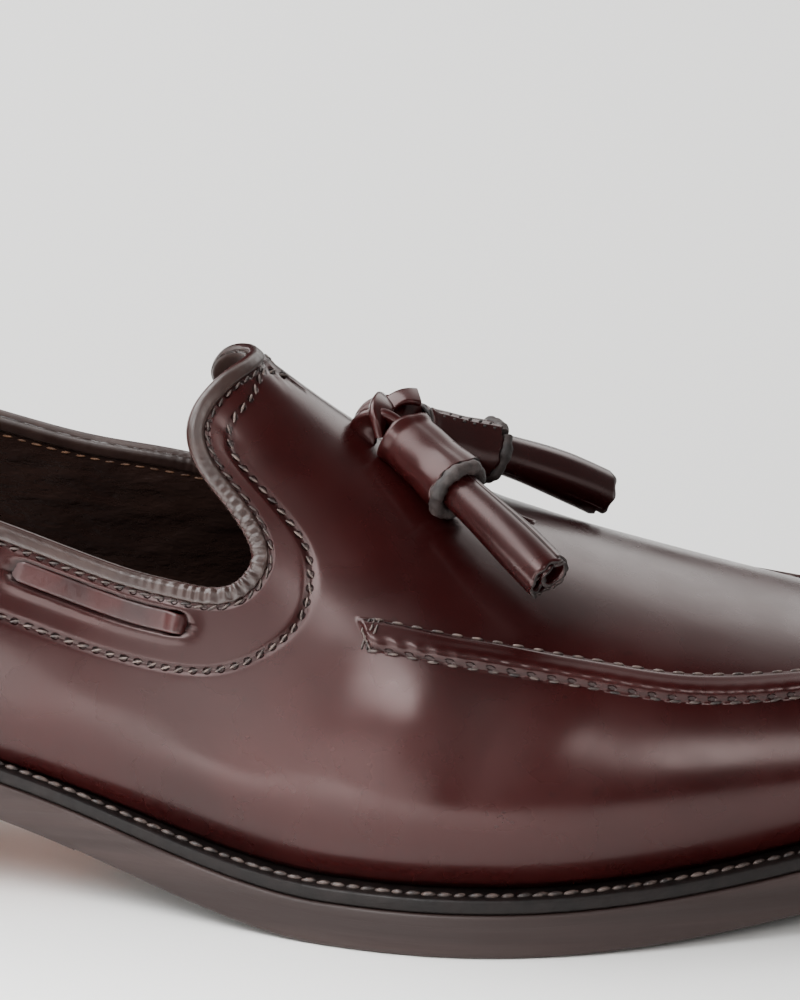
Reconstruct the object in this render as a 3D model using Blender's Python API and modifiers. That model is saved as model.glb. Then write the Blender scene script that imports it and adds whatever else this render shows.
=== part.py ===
# A tassel loafer for the right foot, toe towards +X, outer side towards -Y, standing on Z = 0.
# The upper follows the form of a last: a closed outline in plan, a tread line in side view, and
# sections that rise from the outline to a ridge above the middle of the foot.

import bpy
import bmesh
import math
import numpy as np
from mathutils import Vector
from mathutils.bvhtree import BVHTree

# Driving dimensions, in metres
LAST_LENGTH = 0.288        # heel to toe along the feather edge, where upper meets welt
BALL_WIDTH = 0.0925        # width of the feather edge across the ball of the foot
INSTEP_HEIGHT = 0.1        # floor to the top of the tongue, the unit of the side view heights
ARCH_SPREAD = 0.006        # how far the upper bulges past the feather edge
WALL = 0.002               # upper leather and lining together
HEEL_HEIGHT = 0.027        # floor to the underside of the sole at the back of the heel
SEAT_DROP = 0.0025         # how much lower the sole is at the heel breast than at its back
TOE_SPRING = 0.0135        # rise of the sole's underside at the toe
HEEL_LENGTH = 0.067        # back of the heel to the middle of its breast
BREAST_HOLLOW = 0.004      # depth of the curve of the heel breast
HEEL_TAPER = 0.0022        # how far the heel draws in towards the floor
TOP_LIFT = 0.0062          # rubber layer under the heel
TREAD_START = 0.162        # where the sole first meets the floor
TREAD_END = 0.197          # where the toe spring starts
OUTSOLE = 0.0070           # leather sole at waist and heel
RUBBER = 0.0052            # rubber let into the forepart of the sole
RUBBER_START = 0.112       # straight edge of the rubber across the waist
FOREPART_LEATHER = 0.0036  # leather left above the rubber
WELT = 0.0028              # welt thickness
WELT_MARGIN = 0.0058       # how far welt and sole stand out at the forepart
WELT_SEAT = 0.0026         # how far the upper's edge sits in from the welt's inner edge
INSOLE_RISE = 0.0018       # insole surface above the welt
GAP = 0.0003               # clearance between pieces that touch
SEAM_WIDTH = 0.0052        # raised hand sewn seam of the apron
SEAM_HEIGHT = 0.0016
BINDING = 0.0008           # thickness of the leather rolled over the topline
BINDING_LEG = 0.0028       # how far it reaches down each face
LACE_WIDTH = 0.0052        # leather lace round the collar
LACE_THICKNESS = 0.0012
LACE_SINK = 0.0007         # depth of the windows that the lace lies in
LACE_DROP = 0.0078         # topline to the middle of the lace
LACE_RUN = 0.033           # length that shows in each window
WINDOW_MARGIN = 0.0004     # window edge to lace edge
KNOT_STATION = 0.590       # share of LAST_LENGTH where the tassels are tied
KNOT_RADIUS = 0.0042
KNOT_LENGTH = 0.0125
KNOT_BACK = 0.0025         # knot's middle behind KNOT_STATION
CAP_LENGTH = 0.0160        # rolled leather cap of a tassel
CAP_RADIUS = 0.0046
CAP_FLARE = 0.0056
RING_RADIUS = 0.0014       # cord of the ring round the neck of a tassel
NECK_RADIUS = 0.0042
FRINGE_LENGTH = 0.0270
FRINGE_RADIUS = 0.0058
FRINGE_STRIPS = 7
STRIP_RELIEF = 0.0012      # how far the strips stand out of the fringe

# The feather edge in plan, from the back of the heel along the outer side and back along the inner
# side. Columns: place, share of LAST_LENGTH from the heel, share of BALL_WIDTH towards the inner side.
LAST_OUTLINE = (
    ("heel back", 0.000, 0.000),
    ("heel corner, outer", 0.045, -0.228),
    ("heel side, outer", 0.140, -0.318),
    ("waist rear, outer", 0.280, -0.325),
    ("waist, outer", 0.410, -0.345),
    ("ball rear, outer", 0.530, -0.440),
    ("ball, outer", 0.632, -0.520),
    ("forefoot, outer", 0.762, -0.474),
    ("toe side, outer", 0.880, -0.356),
    ("toe corner, outer", 0.966, -0.222),
    ("toe tip", 1.000, 0.020),
    ("toe corner, inner", 0.966, 0.252),
    ("toe side, inner", 0.880, 0.392),
    ("ball, inner", 0.745, 0.492),
    ("ball rear, inner", 0.620, 0.428),
    ("waist front, inner", 0.505, 0.285),
    ("waist, inner", 0.395, 0.238),
    ("waist rear, inner", 0.280, 0.272),
    ("heel side, inner", 0.140, 0.314),
    ("heel corner, inner", 0.045, 0.228),
)

# Height of the ridge above the floor. Columns: share of LAST_LENGTH, share of INSTEP_HEIGHT,
# share of BALL_WIDTH towards the inner side. Behind the tongue the ridge is only a guide for the walls.
RIDGE = (
    (0.08, 1.50, 0.000),
    (0.22, 1.44, 0.000),
    (0.36, 1.31, 0.005),
    (0.44, 1.16, 0.015),
    (0.50, 1.02, 0.020),
    (0.57, 0.86, 0.025),
    (0.65, 0.72, 0.030),
    (0.74, 0.615, 0.032),
    (0.83, 0.540, 0.028),
    (0.92, 0.480, 0.020),
)

# Form of the sections. Columns: share of the way round from heel to toe, widest point past the
# feather edge as a share of ARCH_SPREAD on the outer and on the inner side, its height, then side
# and shoulder points: out as a share of the widest half width, up as a share of the section height.
SECTIONS = (
    (0.00, 0.60, 0.60, 0.150, 0.915, 0.420, 0.640, 0.800),
    (0.14, 0.60, 0.60, 0.150, 0.900, 0.420, 0.610, 0.800),
    (0.30, 0.60, 1.10, 0.150, 0.850, 0.420, 0.540, 0.790),
    (0.42, 0.65, 1.50, 0.160, 0.840, 0.420, 0.500, 0.790),
    (0.53, 0.70, 1.30, 0.180, 0.885, 0.440, 0.520, 0.810),
    (0.64, 0.75, 0.85, 0.220, 0.920, 0.490, 0.590, 0.830),
    (0.76, 0.70, 0.70, 0.270, 0.940, 0.540, 0.620, 0.860),
    (0.88, 0.60, 0.60, 0.310, 0.930, 0.590, 0.630, 0.885),
    (1.00, 0.60, 0.60, 0.330, 0.920, 0.600, 0.620, 0.890),
)
SECTION_KNOTS = (0.0, 0.17, 0.37, 0.67, 1.0)   # feather edge, widest, side, shoulder, ridge

# The topline, from the back of the heel to the middle of the tongue.
# Columns: share of the way round, share of the way up the section.
TOPLINE_OUTER = (
    (0.000, 0.445),
    (0.080, 0.432),
    (0.180, 0.415),
    (0.280, 0.402),
    (0.360, 0.400),
    (0.400, 0.408),
    (0.430, 0.422),
    (0.455, 0.442),
    (0.474, 0.461),
    (0.488, 0.486),
    (0.497, 0.520),
    (0.500, 0.552),
    (0.493, 0.583),
    (0.479, 0.608),
    (0.465, 0.634),
    (0.459, 0.670),
    (0.460, 0.712),
    (0.468, 0.780),
    (0.478, 0.854),
    (0.487, 0.935),
    (0.490, 1.000),
)
TOPLINE_INNER = (
    (0.000, 0.445),
    (0.080, 0.434),
    (0.180, 0.418),
    (0.280, 0.408),
    (0.340, 0.414),
    (0.380, 0.432),
    (0.415, 0.462),
    (0.442, 0.486),
    (0.466, 0.504),
    (0.482, 0.522),
    (0.491, 0.548),
    (0.493, 0.576),
    (0.487, 0.604),
    (0.475, 0.630),
    (0.464, 0.658),
    (0.459, 0.692),
    (0.461, 0.730),
    (0.469, 0.790),
    (0.479, 0.858),
    (0.487, 0.935),
    (0.490, 1.000),
)
TOPLINE_CORNER = 11        # row at the front of the opening

# The apron seam round the toe. Columns: share of the way round, share of the way up the section on
# the outer and on the inner side. Behind APRON_START it only guides the rows of the mesh.
APRON = (
    (0.00, 0.250, 0.250),
    (0.30, 0.260, 0.260),
    (0.46, 0.345, 0.350),
    (0.53, 0.465, 0.450),
    (0.575, 0.528, 0.510),
    (0.615, 0.560, 0.540),
    (0.66, 0.585, 0.552),
    (0.71, 0.590, 0.538),
    (0.76, 0.582, 0.536),
    (0.81, 0.600, 0.562),
    (0.86, 0.635, 0.608),
    (0.93, 0.660, 0.650),
    (1.00, 0.665, 0.665),
)
APRON_START = 0.572

# How far welt and sole stand out. Columns: share of the way round, share of WELT_MARGIN.
MARGIN = (
    (0.00, 0.50),
    (0.20, 0.50),
    (0.34, 0.62),
    (0.44, 0.90),
    (0.58, 1.00),
    (1.00, 1.00),
)

# Windows for the collar lace: side, and the middle as a share of the way round.
LACE_WINDOWS = (
    ("outer_front", -1, 0.408),
    ("outer_rear", -1, 0.235),
    ("inner_front", 1, 0.408),
    ("inner_rear", 1, 0.235),
)
HEEL_LACE_HALF = 0.020     # the run round the back of the heel, each way from the middle

# Tassels: side, then where the axis starts and a place that it points to, each past KNOT_STATION
# and out from the ridge, then how far the end is lifted off the leather. All are shares of KNOT_LENGTH.
TASSELS = (
    ("outer", -1, (0.24, 0.26), (2.60, 2.43), 0.0),
    ("inner", 1, (0.40, 0.36), (2.90, 2.10), 0.0),
)
TASSEL_UP = (0.4, 0.0, 1.0)    # the way that the top of each section faces

# A tassel's solid along its axis. Columns: share of the cap's length, share of CAP_RADIUS.
CAP_PROFILE = (
    (0.00, 0.72),
    (0.05, 0.92),
    (0.35, 1.00),
    (0.80, 1.11),
)
RING_TURNS = (-60, -20, 20, 60)    # degrees round the ring's cord
RING_STAND = 0.8                   # how much of the cord's radius stands out of the neck
# Columns: share of FRINGE_LENGTH, share of the way from NECK_RADIUS to FRINGE_RADIUS.
FRINGE_PROFILE = (
    (0.0, 0.00),
    (0.3, 0.50),
    (0.7, 1.00),
    (1.0, 1.07),
)
# The knot along its axis. Columns: share of KNOT_LENGTH, share of KNOT_RADIUS.
KNOT_PROFILE = (
    (0.00, 0.62),
    (0.12, 0.92),
    (0.32, 1.00),
    (0.50, 0.86),
    (0.68, 1.00),
    (0.88, 0.92),
    (1.00, 0.62),
)

# How a tassel is laid on the leather: the slopes and the places across it that are tried
REST_SLOPES = (-1.2, 0.4)
REST_STEPS = 41
REST_SWAYS = (-0.8, -0.4, 0.0, 0.4, 0.8)

# The sections stand on the middle line between these shares of the length, and fan out beyond them.
SPINE_HEEL_SHARE = 0.125
SPINE_TOE_SHARE = 0.880
SPINE_BLEND_SHARE = 0.028

# Mesh of the upper: how far its columns start ahead of the topline, as a share of the way round,
# and how late they bend back to it
CORNER_LEAD_SHARE = 0.05
TONGUE_LEAD_SHARE = 0.14
LEAD_GROWTH = 4
THROAT_BEND = 8.0
RIDGE_BEND = 3.0
MOST_SEAM_SHARE = 0.05     # of a column, where the apron's line only guides the rows
SEAM_CREST_SHARE = 0.62    # of the seam's half width that stands at its full height
REAR_CROWDING = 1.3        # columns stand closer towards the throat than round the heel
NORMAL_STEP = 2e-3         # share of the way round or up, for slopes read off the surface

NO_LIMIT = 1.0             # further than any edge of the sole

# Resolution
REAR_COLUMNS = 22
TONGUE_COLUMNS = 15
RIDGE_COLUMNS = 15
WALL_ROWS = 4
APRON_ROWS = 5
SOLE_STATIONS = 40
TASSEL_SIDES = 14
HEEL_STEPS = 13            # points along each side of the heel
BREAST_STEPS = 9           # and across its breast
OUTLINE_STEPS = 1500       # how finely an outline is read before its points are spaced
LACE_STEPS = 7

COLOURS = {
    "oxblood": ((0.075, 0.012, 0.014), 0.22),
    "binding": ((0.060, 0.030, 0.026), 0.45),
    "dark edge": ((0.035, 0.014, 0.012), 0.40),
    "sole edge": ((0.110, 0.072, 0.064), 0.55),
    "rubber": ((0.060, 0.050, 0.047), 0.70),
    "natural leather": ((0.480, 0.185, 0.085), 0.65),
    "lining": ((0.030, 0.018, 0.015), 0.45),
}


def clear_scene():
    for obj in list(bpy.data.objects):
        bpy.data.objects.remove(obj, do_unlink=True)


def new_collection(name):
    made = bpy.data.collections.new(name)
    bpy.context.scene.collection.children.link(made)
    return made


def material(name):
    colour, roughness = COLOURS[name]
    made = bpy.data.materials.get(name)
    if made is None:
        made = bpy.data.materials.new(name)
        made.use_nodes = True
        shader = made.node_tree.nodes["Principled BSDF"]
        shader.inputs["Base Color"].default_value = (*colour, 1.0)
        shader.inputs["Roughness"].default_value = roughness
        shader.inputs["Metallic"].default_value = 0.0
    return made


# A smooth curve with continuous curvature through rows of values, which returns a function of the knot.
def smooth_through(knots, values, start="free", end="free", closed=False):
    t = np.asarray(knots, float)
    y = np.asarray(values, float)
    if y.ndim == 1:
        y = y[:, None]
    count = len(t)
    h = np.diff(t)
    lhs = np.zeros((count, count))
    rhs = np.zeros_like(y)
    for k in range(1, count - 1):
        lhs[k, k - 1:k + 2] = h[k], 2 * (h[k - 1] + h[k]), h[k - 1]
        rhs[k] = 3 * (h[k] * (y[k] - y[k - 1]) / h[k - 1] + h[k - 1] * (y[k + 1] - y[k]) / h[k])
    if closed:
        lhs[0, 0], lhs[0, -1] = 1, -1
        lhs[-1, [0, 1, -2, -1]] = 2 * h[-1], h[-1], h[0], 2 * h[0]
        rhs[-1] = 3 * (h[-1] * (y[1] - y[0]) / h[0] + h[0] * (y[-1] - y[-2]) / h[-1])
    else:
        if start == "flat":
            lhs[0, 0] = 1
        else:
            lhs[0, :2] = 2, 1
            rhs[0] = 3 * (y[1] - y[0]) / h[0]
        if end == "flat":
            lhs[-1, -1] = 1
        else:
            lhs[-1, -2:] = 1, 2
            rhs[-1] = 3 * (y[-1] - y[-2]) / h[-1]
    slope = np.linalg.solve(lhs, rhs)

    def at(where):
        w = np.asarray(where, float)
        k = np.clip(np.searchsorted(t, w, side="right") - 1, 0, count - 2)
        step = h[k]
        s = (w - t[k]) / step
        s, step = s[..., None], step[..., None]
        return (
            (1 + 2 * s) * (1 - s) ** 2 * y[k]
            + s * (1 - s) ** 2 * step * slope[k]
            + s * s * (3 - 2 * s) * y[k + 1]
            + s * s * (s - 1) * step * slope[k + 1]
        )

    return at


def chord_knots(points):
    steps = np.linalg.norm(np.diff(np.asarray(points, float), axis=0), axis=1)
    return np.concatenate([[0.0], np.cumsum(steps)])


def table_curve(rows):
    data = np.array(rows, float)
    return smooth_through(data[:, 0], data[:, 1:], "flat", "flat")


# Both halves of the feather edge, as functions of the share of the way round from heel to toe.
def last_outline():
    rows = [(x * LAST_LENGTH, y * BALL_WIDTH) for _, x, y in LAST_OUTLINE]
    rows.append(rows[0])
    knots = chord_knots(rows)
    dense = smooth_through(knots, rows, closed=True)(np.linspace(0, knots[-1], 4001))[:-1]
    dense = np.roll(dense, -int(np.argmin(dense[:, 0])), axis=0)
    dense = np.vstack([dense, dense[:1]])
    dense[:, 0] -= dense[0, 0]
    toe = int(np.argmax(dense[:, 0]))
    outer, inner = dense[:toe + 1], dense[toe:][::-1]
    halves = {}
    for side, half in ((-1, outer), (1, inner)):
        way = chord_knots(half)
        halves[side] = (way / way[-1], half)
    return halves


OUTLINE = last_outline()
LENGTH = max(half[-1, 0] for _, half in OUTLINE.values())


def outline_point(side, way):
    share, half = OUTLINE[side]
    return np.stack([np.interp(way, share, half[:, 0]), np.interp(way, share, half[:, 1])], -1)


def outline_normal(side, way):
    step = 1e-3
    ahead = outline_point(side, np.clip(np.asarray(way) + step, 0, 1))
    behind = outline_point(side, np.clip(np.asarray(way) - step, 0, 1))
    along = ahead - behind
    normal = np.stack([along[..., 1], -along[..., 0]], -1) * -side
    # At the ends of each half the outline crosses the middle line squarely.
    normal = np.where((np.asarray(way) <= 0)[..., None], np.array([-1.0, 0.0]), normal)
    normal = np.where((np.asarray(way) >= 1)[..., None], np.array([1.0, 0.0]), normal)
    return normal / np.linalg.norm(normal, axis=-1, keepdims=True)


MARGIN_AT = table_curve(MARGIN)


# The outline moved out by the welt's margin, or in by a clearance.
def offset_outline(side, way, share_of_margin, extra):
    out = MARGIN_AT(way)[..., 0] * WELT_MARGIN * share_of_margin + extra
    return outline_point(side, way) + outline_normal(side, way) * out[..., None]


# Height of the underside of the sole above the floor: heel seat, waist, flat tread and toe spring.
def tread_line(x):
    x = np.asarray(x, float)
    slope = SEAT_DROP / HEEL_LENGTH
    seat = HEEL_HEIGHT - slope * x
    span = TREAD_START - HEEL_LENGTH
    s = np.clip((x - HEEL_LENGTH) / span, 0, 1)
    waist = (
        (1 + 2 * s) * (1 - s) ** 2 * (HEEL_HEIGHT - SEAT_DROP)
        - s * (1 - s) ** 2 * span * slope
    )
    toe = TOE_SPRING * np.clip((x - TREAD_END) / (LENGTH + WELT_MARGIN - TREAD_END), 0, None) ** 2
    return np.where(x <= HEEL_LENGTH, seat, waist) + toe


# Forepart layers lie above the rubber, which is as thick as the step in the leather sole.
def sole_top(x):
    return tread_line(x) + OUTSOLE + (RUBBER - OUTSOLE + FOREPART_LEATHER) * forepart(x)


# Smooth change from the waist's thickness to the forepart's, which is a little more.
def forepart(x):
    s = np.clip((np.asarray(x, float) - HEEL_LENGTH) / (TREAD_START - HEEL_LENGTH), 0, 1)
    return s * s * (3 - 2 * s)


def feather_height(x):
    return sole_top(x) + GAP + WELT + GAP


RIDGE_AT = smooth_through([row[0] for row in RIDGE], [row[1:] for row in RIDGE])
SECTION_AT = table_curve(SECTIONS)
RADIAL_WEIGHTS = smooth_through(SECTION_KNOTS, np.eye(5))
HEIGHT_WEIGHTS = smooth_through(SECTION_KNOTS, np.eye(5), end="flat")


# Where the sections stand on the middle line.
def spine(way):
    mean = (outline_point(-1, way)[..., 0] + outline_point(1, way)[..., 0]) / 2
    soft = SPINE_BLEND_SHARE * LENGTH
    low = SPINE_HEEL_SHARE * LENGTH
    high = SPINE_TOE_SHARE * LENGTH
    x = low + soft * np.log1p(np.exp((mean - low) / soft))
    return high - soft * np.log1p(np.exp((high - x) / soft))


# A point of the upper's outer face: side -1 outer or 1 inner, way round from heel to toe, way up
# from the feather edge to the ridge.
def last_point(side, way, up):
    way = np.asarray(way, float)
    up = np.asarray(up, float)
    x = spine(way)
    ridge = RIDGE_AT(x / LENGTH)
    step = 1e-3
    slope = (RIDGE_AT(x / LENGTH + step)[..., 0] - RIDGE_AT(x / LENGTH - step)[..., 0])
    slope = slope * INSTEP_HEIGHT / (2 * step * LENGTH)
    middle = np.stack([x, ridge[..., 1] * BALL_WIDTH], -1)
    foot = outline_point(side, way)
    reach = foot - middle
    radius = np.linalg.norm(reach, axis=-1)
    towards = reach / radius[..., None]
    low = feather_height(foot[..., 0])
    height = ridge[..., 0] * INSTEP_HEIGHT - low
    form = SECTION_AT(way)
    spread = form[..., 0] if side < 0 else form[..., 1]
    widest = radius + spread * ARCH_SPREAD
    zero = np.zeros_like(radius)
    out = np.stack([radius, widest, widest * form[..., 3], widest * form[..., 5], zero], -1)
    rise = np.stack([zero, form[..., 2], form[..., 4], form[..., 6], zero + 1], -1)
    r = (RADIAL_WEIGHTS(up) * out).sum(-1)
    z = low + height * (HEIGHT_WEIGHTS(up) * rise).sum(-1)
    level = up * up * (3 - 2 * up)
    z = z + slope * towards[..., 0] * r * level
    flat = middle + towards * r[..., None]
    return np.concatenate([flat, z[..., None]], -1)


def half_normal(side, way, up):
    step = NORMAL_STEP
    way = np.clip(np.asarray(way, float), step, 1 - step)
    up = np.clip(np.asarray(up, float), step, 1 - step)
    along = last_point(side, way + step, up) - last_point(side, way - step, up)
    rise = last_point(side, way, up + step) - last_point(side, way, up - step)
    normal = np.cross(along, rise) * -side
    return normal / np.linalg.norm(normal, axis=-1, keepdims=True)


# Outward normal of the outer face. Where the two sides meet it is the mean of both.
def last_normal(side, way, up):
    normal = half_normal(side, way, up)
    at_end = (np.asarray(way) <= 0) | (np.asarray(way) >= 1)
    both = normal + half_normal(-side, way, up)
    both = both / np.linalg.norm(both, axis=-1, keepdims=True)
    return np.where(at_end[..., None], both, normal)


def rise_length(side, way, up):
    step = 2 * NORMAL_STEP
    above = last_point(side, way, np.clip(up + step, 0, 1))
    below = last_point(side, way, np.clip(up - step, 0, 1))
    gone = np.clip(up + step, 0, 1) - np.clip(up - step, 0, 1)
    return np.linalg.norm(above - below, axis=-1) / gone


APRON_AT = table_curve(APRON)


def apron_line(side, way):
    return APRON_AT(way)[..., 0 if side < 0 else 1]


def topline_rows(side):
    return TOPLINE_OUTER if side < 0 else TOPLINE_INNER


def topline_curve(side):
    rows = np.array(topline_rows(side))
    knots = chord_knots(rows * np.array([LENGTH, INSTEP_HEIGHT]))
    curve = smooth_through(knots, rows, "free", "free")
    return curve, knots


# The two ends of each column of the upper: on the feather edge, and on the topline or the ridge.
def columns(side):
    curve, knots = topline_curve(side)
    corner = knots[TOPLINE_CORNER]
    even = np.linspace(0, 1, REAR_COLUMNS + 1)[:-1]
    rear = corner * (1 - (1 - even) ** REAR_CROWDING)
    tongue = np.linspace(corner, knots[-1], TONGUE_COLUMNS + 1)
    top = curve(np.concatenate([rear, tongue]))
    top[0, 0] = 0
    top[-1] = topline_rows(side)[-1]
    corner_way = topline_rows(side)[TOPLINE_CORNER][0] + CORNER_LEAD_SHARE
    front_way = topline_rows(side)[-1][0] + TONGUE_LEAD_SHARE
    rear_foot = top[:REAR_COLUMNS, 0] + CORNER_LEAD_SHARE * (rear / corner) ** LEAD_GROWTH
    tongue_foot = np.interp(tongue, [corner, knots[-1]], [corner_way, front_way])
    share = np.linspace(0, 1, RIDGE_COLUMNS + 1)[1:]
    ridge = np.stack([top[-1, 0] + (1 - top[-1, 0]) * share, np.ones_like(share)], -1)
    ridge_foot = front_way + (1 - front_way) * share
    foot = np.concatenate([rear_foot, tongue_foot, ridge_foot])
    return foot, np.vstack([top, ridge])


# Place on each column: way round and way up. Columns rise straight, then bend back to the tongue,
# later round the throat than on the ridge.
def on_column(foot, top, share):
    tongue = np.linspace(THROAT_BEND, RIDGE_BEND, TONGUE_COLUMNS + 1)
    bend = np.full(len(foot), RIDGE_BEND)
    bend[:REAR_COLUMNS] = THROAT_BEND
    bend[REAR_COLUMNS:REAR_COLUMNS + TONGUE_COLUMNS + 1] = tongue
    way = foot + (top[:, 0] - foot) * share ** bend
    return way, np.clip(top[:, 1] * share, 0, 1)


def column_rate(side, foot, top, share):
    step = 1e-3
    low = last_point(side, *on_column(foot, top, share - step))
    high = last_point(side, *on_column(foot, top, share))
    return (high - low) / step


# How fast a column crosses the apron's line, measured square to that line.
def crossing_rate(side, foot, top, share):
    way, _ = on_column(foot, top, share)
    ahead, behind = np.minimum(way + 1e-3, 1), np.maximum(way - 1e-3, 0)
    along = last_point(side, ahead, apron_line(side, ahead))
    along = along - last_point(side, behind, apron_line(side, behind))
    along /= np.linalg.norm(along, axis=1, keepdims=True)
    return np.linalg.norm(np.cross(column_rate(side, foot, top, share), along), axis=1)


# How far up each column the apron's line lies.
def apron_crossing(side, foot, top):
    share = np.full(len(foot), 0.5)
    for _ in range(60):
        way, _ = on_column(foot, top, share)
        share = (share + np.clip(apron_line(side, way) / top[:, 1], 0.2, 0.8)) / 2
    return share


# Rows and columns of points on the outer face, with the apron seam raised.
def upper_grid(side):
    foot, top = columns(side)
    crossing = apron_crossing(side, foot, top)
    half = SEAM_WIDTH / 2 / crossing_rate(side, foot, top, crossing)
    half = np.minimum(half, MOST_SEAM_SHARE)
    last_rate = np.linalg.norm(column_rate(side, foot, top, np.ones_like(crossing)), axis=1)
    edge = (BINDING_LEG + 2 * GAP) / last_rate
    steps = [share * (crossing - half) for share in np.linspace(0, 1, WALL_ROWS + 1)]
    raised = [0.0] * len(steps)
    for place, height in ((-SEAM_CREST_SHARE, 1.0), (SEAM_CREST_SHARE, 1.0), (1.0, 0.0)):
        steps.append(crossing + place * half)
        raised.append(height)
    for share in np.linspace(0, 1, APRON_ROWS)[1:]:
        steps.append(crossing + half + (1 - crossing - half - edge) * share)
        raised.append(0.0)
    steps.append(np.ones_like(crossing))
    raised.append(0.0)
    sewn, _ = on_column(foot, top, crossing)
    grid = []
    for step, height in zip(steps, raised):
        way, up = on_column(foot, top, step)
        points = last_point(side, way, up)
        lift = np.where(sewn >= APRON_START, height * SEAM_HEIGHT, 0.0)
        grid.append(points + last_normal(side, way, up) * lift[:, None])
    return np.array(grid)


def object_of(name, mesh, collection, colour, smooth=True):
    obj = bpy.data.objects.new(name, mesh)
    collection.objects.link(obj)
    mesh.materials.append(material(colour))
    if smooth:
        mesh.shade_smooth()
        mesh.set_sharp_from_angle(angle=math.radians(40))
    return obj


def mesh_from(bm, name):
    mesh = bpy.data.meshes.new(name)
    bm.to_mesh(mesh)
    bm.free()
    return mesh


# Joins rings of equal length by quads. The ends are filled, or the last ring meets the first.
def loft(name, rings, closed_loop=False):
    bm = bmesh.new()
    verts = [[bm.verts.new(p) for p in ring] for ring in rings]
    pairs = list(zip(verts, verts[1:]))
    if closed_loop:
        pairs.append((verts[-1], verts[0]))
    for first, second in pairs:
        for k in range(len(first)):
            n = (k + 1) % len(first)
            bm.faces.new((first[k], first[n], second[n], second[k]))
    if not closed_loop:
        bm.faces.new(verts[0][::-1])
        bm.faces.new(verts[-1])
    bmesh.ops.remove_doubles(bm, verts=bm.verts, dist=1e-6)
    bmesh.ops.dissolve_degenerate(bm, dist=1e-6, edges=bm.edges)
    bmesh.ops.recalc_face_normals(bm, faces=bm.faces)
    return mesh_from(bm, name)


def upper_skin():
    bm = bmesh.new()
    for side in (-1, 1):
        grid = upper_grid(side)
        verts = [[bm.verts.new(p) for p in row] for row in grid]
        for low, high in zip(verts, verts[1:]):
            for k in range(len(low) - 1):
                corners = (low[k], low[k + 1], high[k + 1], high[k])
                bm.faces.new(corners if side < 0 else corners[::-1])
    bmesh.ops.remove_doubles(bm, verts=bm.verts, dist=2e-5)
    bmesh.ops.dissolve_degenerate(bm, dist=1e-5, edges=bm.edges)
    bm.normal_update()
    return bm


def build_upper(collection, cutters):
    upper = object_of("upper", mesh_from(upper_skin(), "upper"), collection, "oxblood")
    shell = upper.modifiers.new("wall", "SOLIDIFY")
    shell.thickness = WALL
    shell.offset = -1
    for cutter in lace_cutters(cutters):
        cut = upper.modifiers.new("window", "BOOLEAN")
        cut.operation = "DIFFERENCE"
        cut.object = cutter
    return upper


# Section of the binding at one point of the topline: down one face, over the edge, up the other.
def binding_section(top, below, top_normal, below_normal):
    share = BINDING_LEG / (below - top).length
    foot = top.lerp(below, share)
    foot_normal = top_normal.lerp(below_normal, share)
    up = (top - below).normalized()
    up = (up - top_normal * up.dot(top_normal)).normalized()
    over = GAP + BINDING
    inside = -WALL - GAP
    far_inside = -WALL - over
    return [
        foot + foot_normal * GAP,
        foot + foot_normal * over,
        top + top_normal * over + up * GAP,
        top + up * over,
        top - top_normal * WALL + up * over,
        top + top_normal * far_inside + up * GAP,
        foot + foot_normal * far_inside,
        foot + foot_normal * inside,
        top + top_normal * inside + up * GAP,
        top + top_normal * GAP + up * GAP,
    ]


def build_binding(collection):
    bm = upper_skin()
    tree = BVHTree.FromBMesh(bm)
    places = {tuple(round(c, 5) for c in v.co): v.normal.copy() for v in bm.verts}
    bm.free()

    def normal_at(point):
        key = tuple(round(c, 5) for c in point)
        return places[key] if key in places else tree.find_nearest(point)[1]

    rings = []
    for side in (-1, 1):
        grid = upper_grid(side)
        count = REAR_COLUMNS + TONGUE_COLUMNS + 1
        half = []
        for k in range(count):
            top, below = Vector(grid[-1][k]), Vector(grid[-2][k])
            half.append(binding_section(top, below, normal_at(top), normal_at(below)))
        rings += half if side < 0 else half[::-1][1:-1]
    return object_of("collar_binding", loft("collar_binding", rings, True), collection, "binding")


# The topline's side part in small steps: distance from the heel, way round and way up.
def topline_steps(side):
    curve, knots = topline_curve(side)
    way_up = curve(np.linspace(0, 1, 801) * knots[TOPLINE_CORNER])
    way_up[:, 0] = np.clip(way_up[:, 0], 0, 1)
    gone = chord_knots(last_point(side, way_up[:, 0], way_up[:, 1]))
    return gone, way_up[:, 0], way_up[:, 1]


# A point of the lace's middle line, at a fixed drop below the topline, with the leather's normal.
def lace_point(side, distance):
    gone, ways, ups = topline_steps(side)
    way = np.interp(distance, gone, ways)
    up = np.interp(distance, gone, ups)
    up = up - LACE_DROP / rise_length(side, way, up)
    return last_point(side, way, up), last_normal(side, way, up)


# A flat strip along a line on the leather, with round ends.
def strip(name, points, normals, half_width, low, high):
    along = np.gradient(points, axis=0)
    along /= np.linalg.norm(along, axis=1, keepdims=True)
    across = np.cross(normals, along)
    gone = chord_knots(points)
    to_end = np.minimum(gone, gone[-1] - gone)
    inside = np.clip(half_width - to_end, 0, half_width * 0.92)
    width = np.sqrt(half_width ** 2 - inside ** 2)
    rings = [
        [p - a * w + n * low, p + a * w + n * low, p + a * w + n * high, p - a * w + n * high]
        for p, n, a, w in zip(points, normals, across, width)
    ]
    return loft(name, rings)


def end_spaced(start, end, half_width, steps):
    inner = np.linspace(start + half_width, end - half_width, steps)
    ends = half_width * np.array([0.0, 0.12, 0.35, 0.65])
    return np.concatenate([start + ends, inner, (end - ends)[::-1]])


def lace_path(side, middle, half_run, half_width):
    points, normals = [], []
    for place in end_spaced(middle - half_run, middle + half_run, half_width, LACE_STEPS):
        # Behind the middle of the heel the run goes on round the other side.
        point, normal = lace_point(side if place >= 0 else -side, abs(place))
        points.append(point)
        normals.append(normal)
    return np.array(points), np.array(normals)


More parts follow.
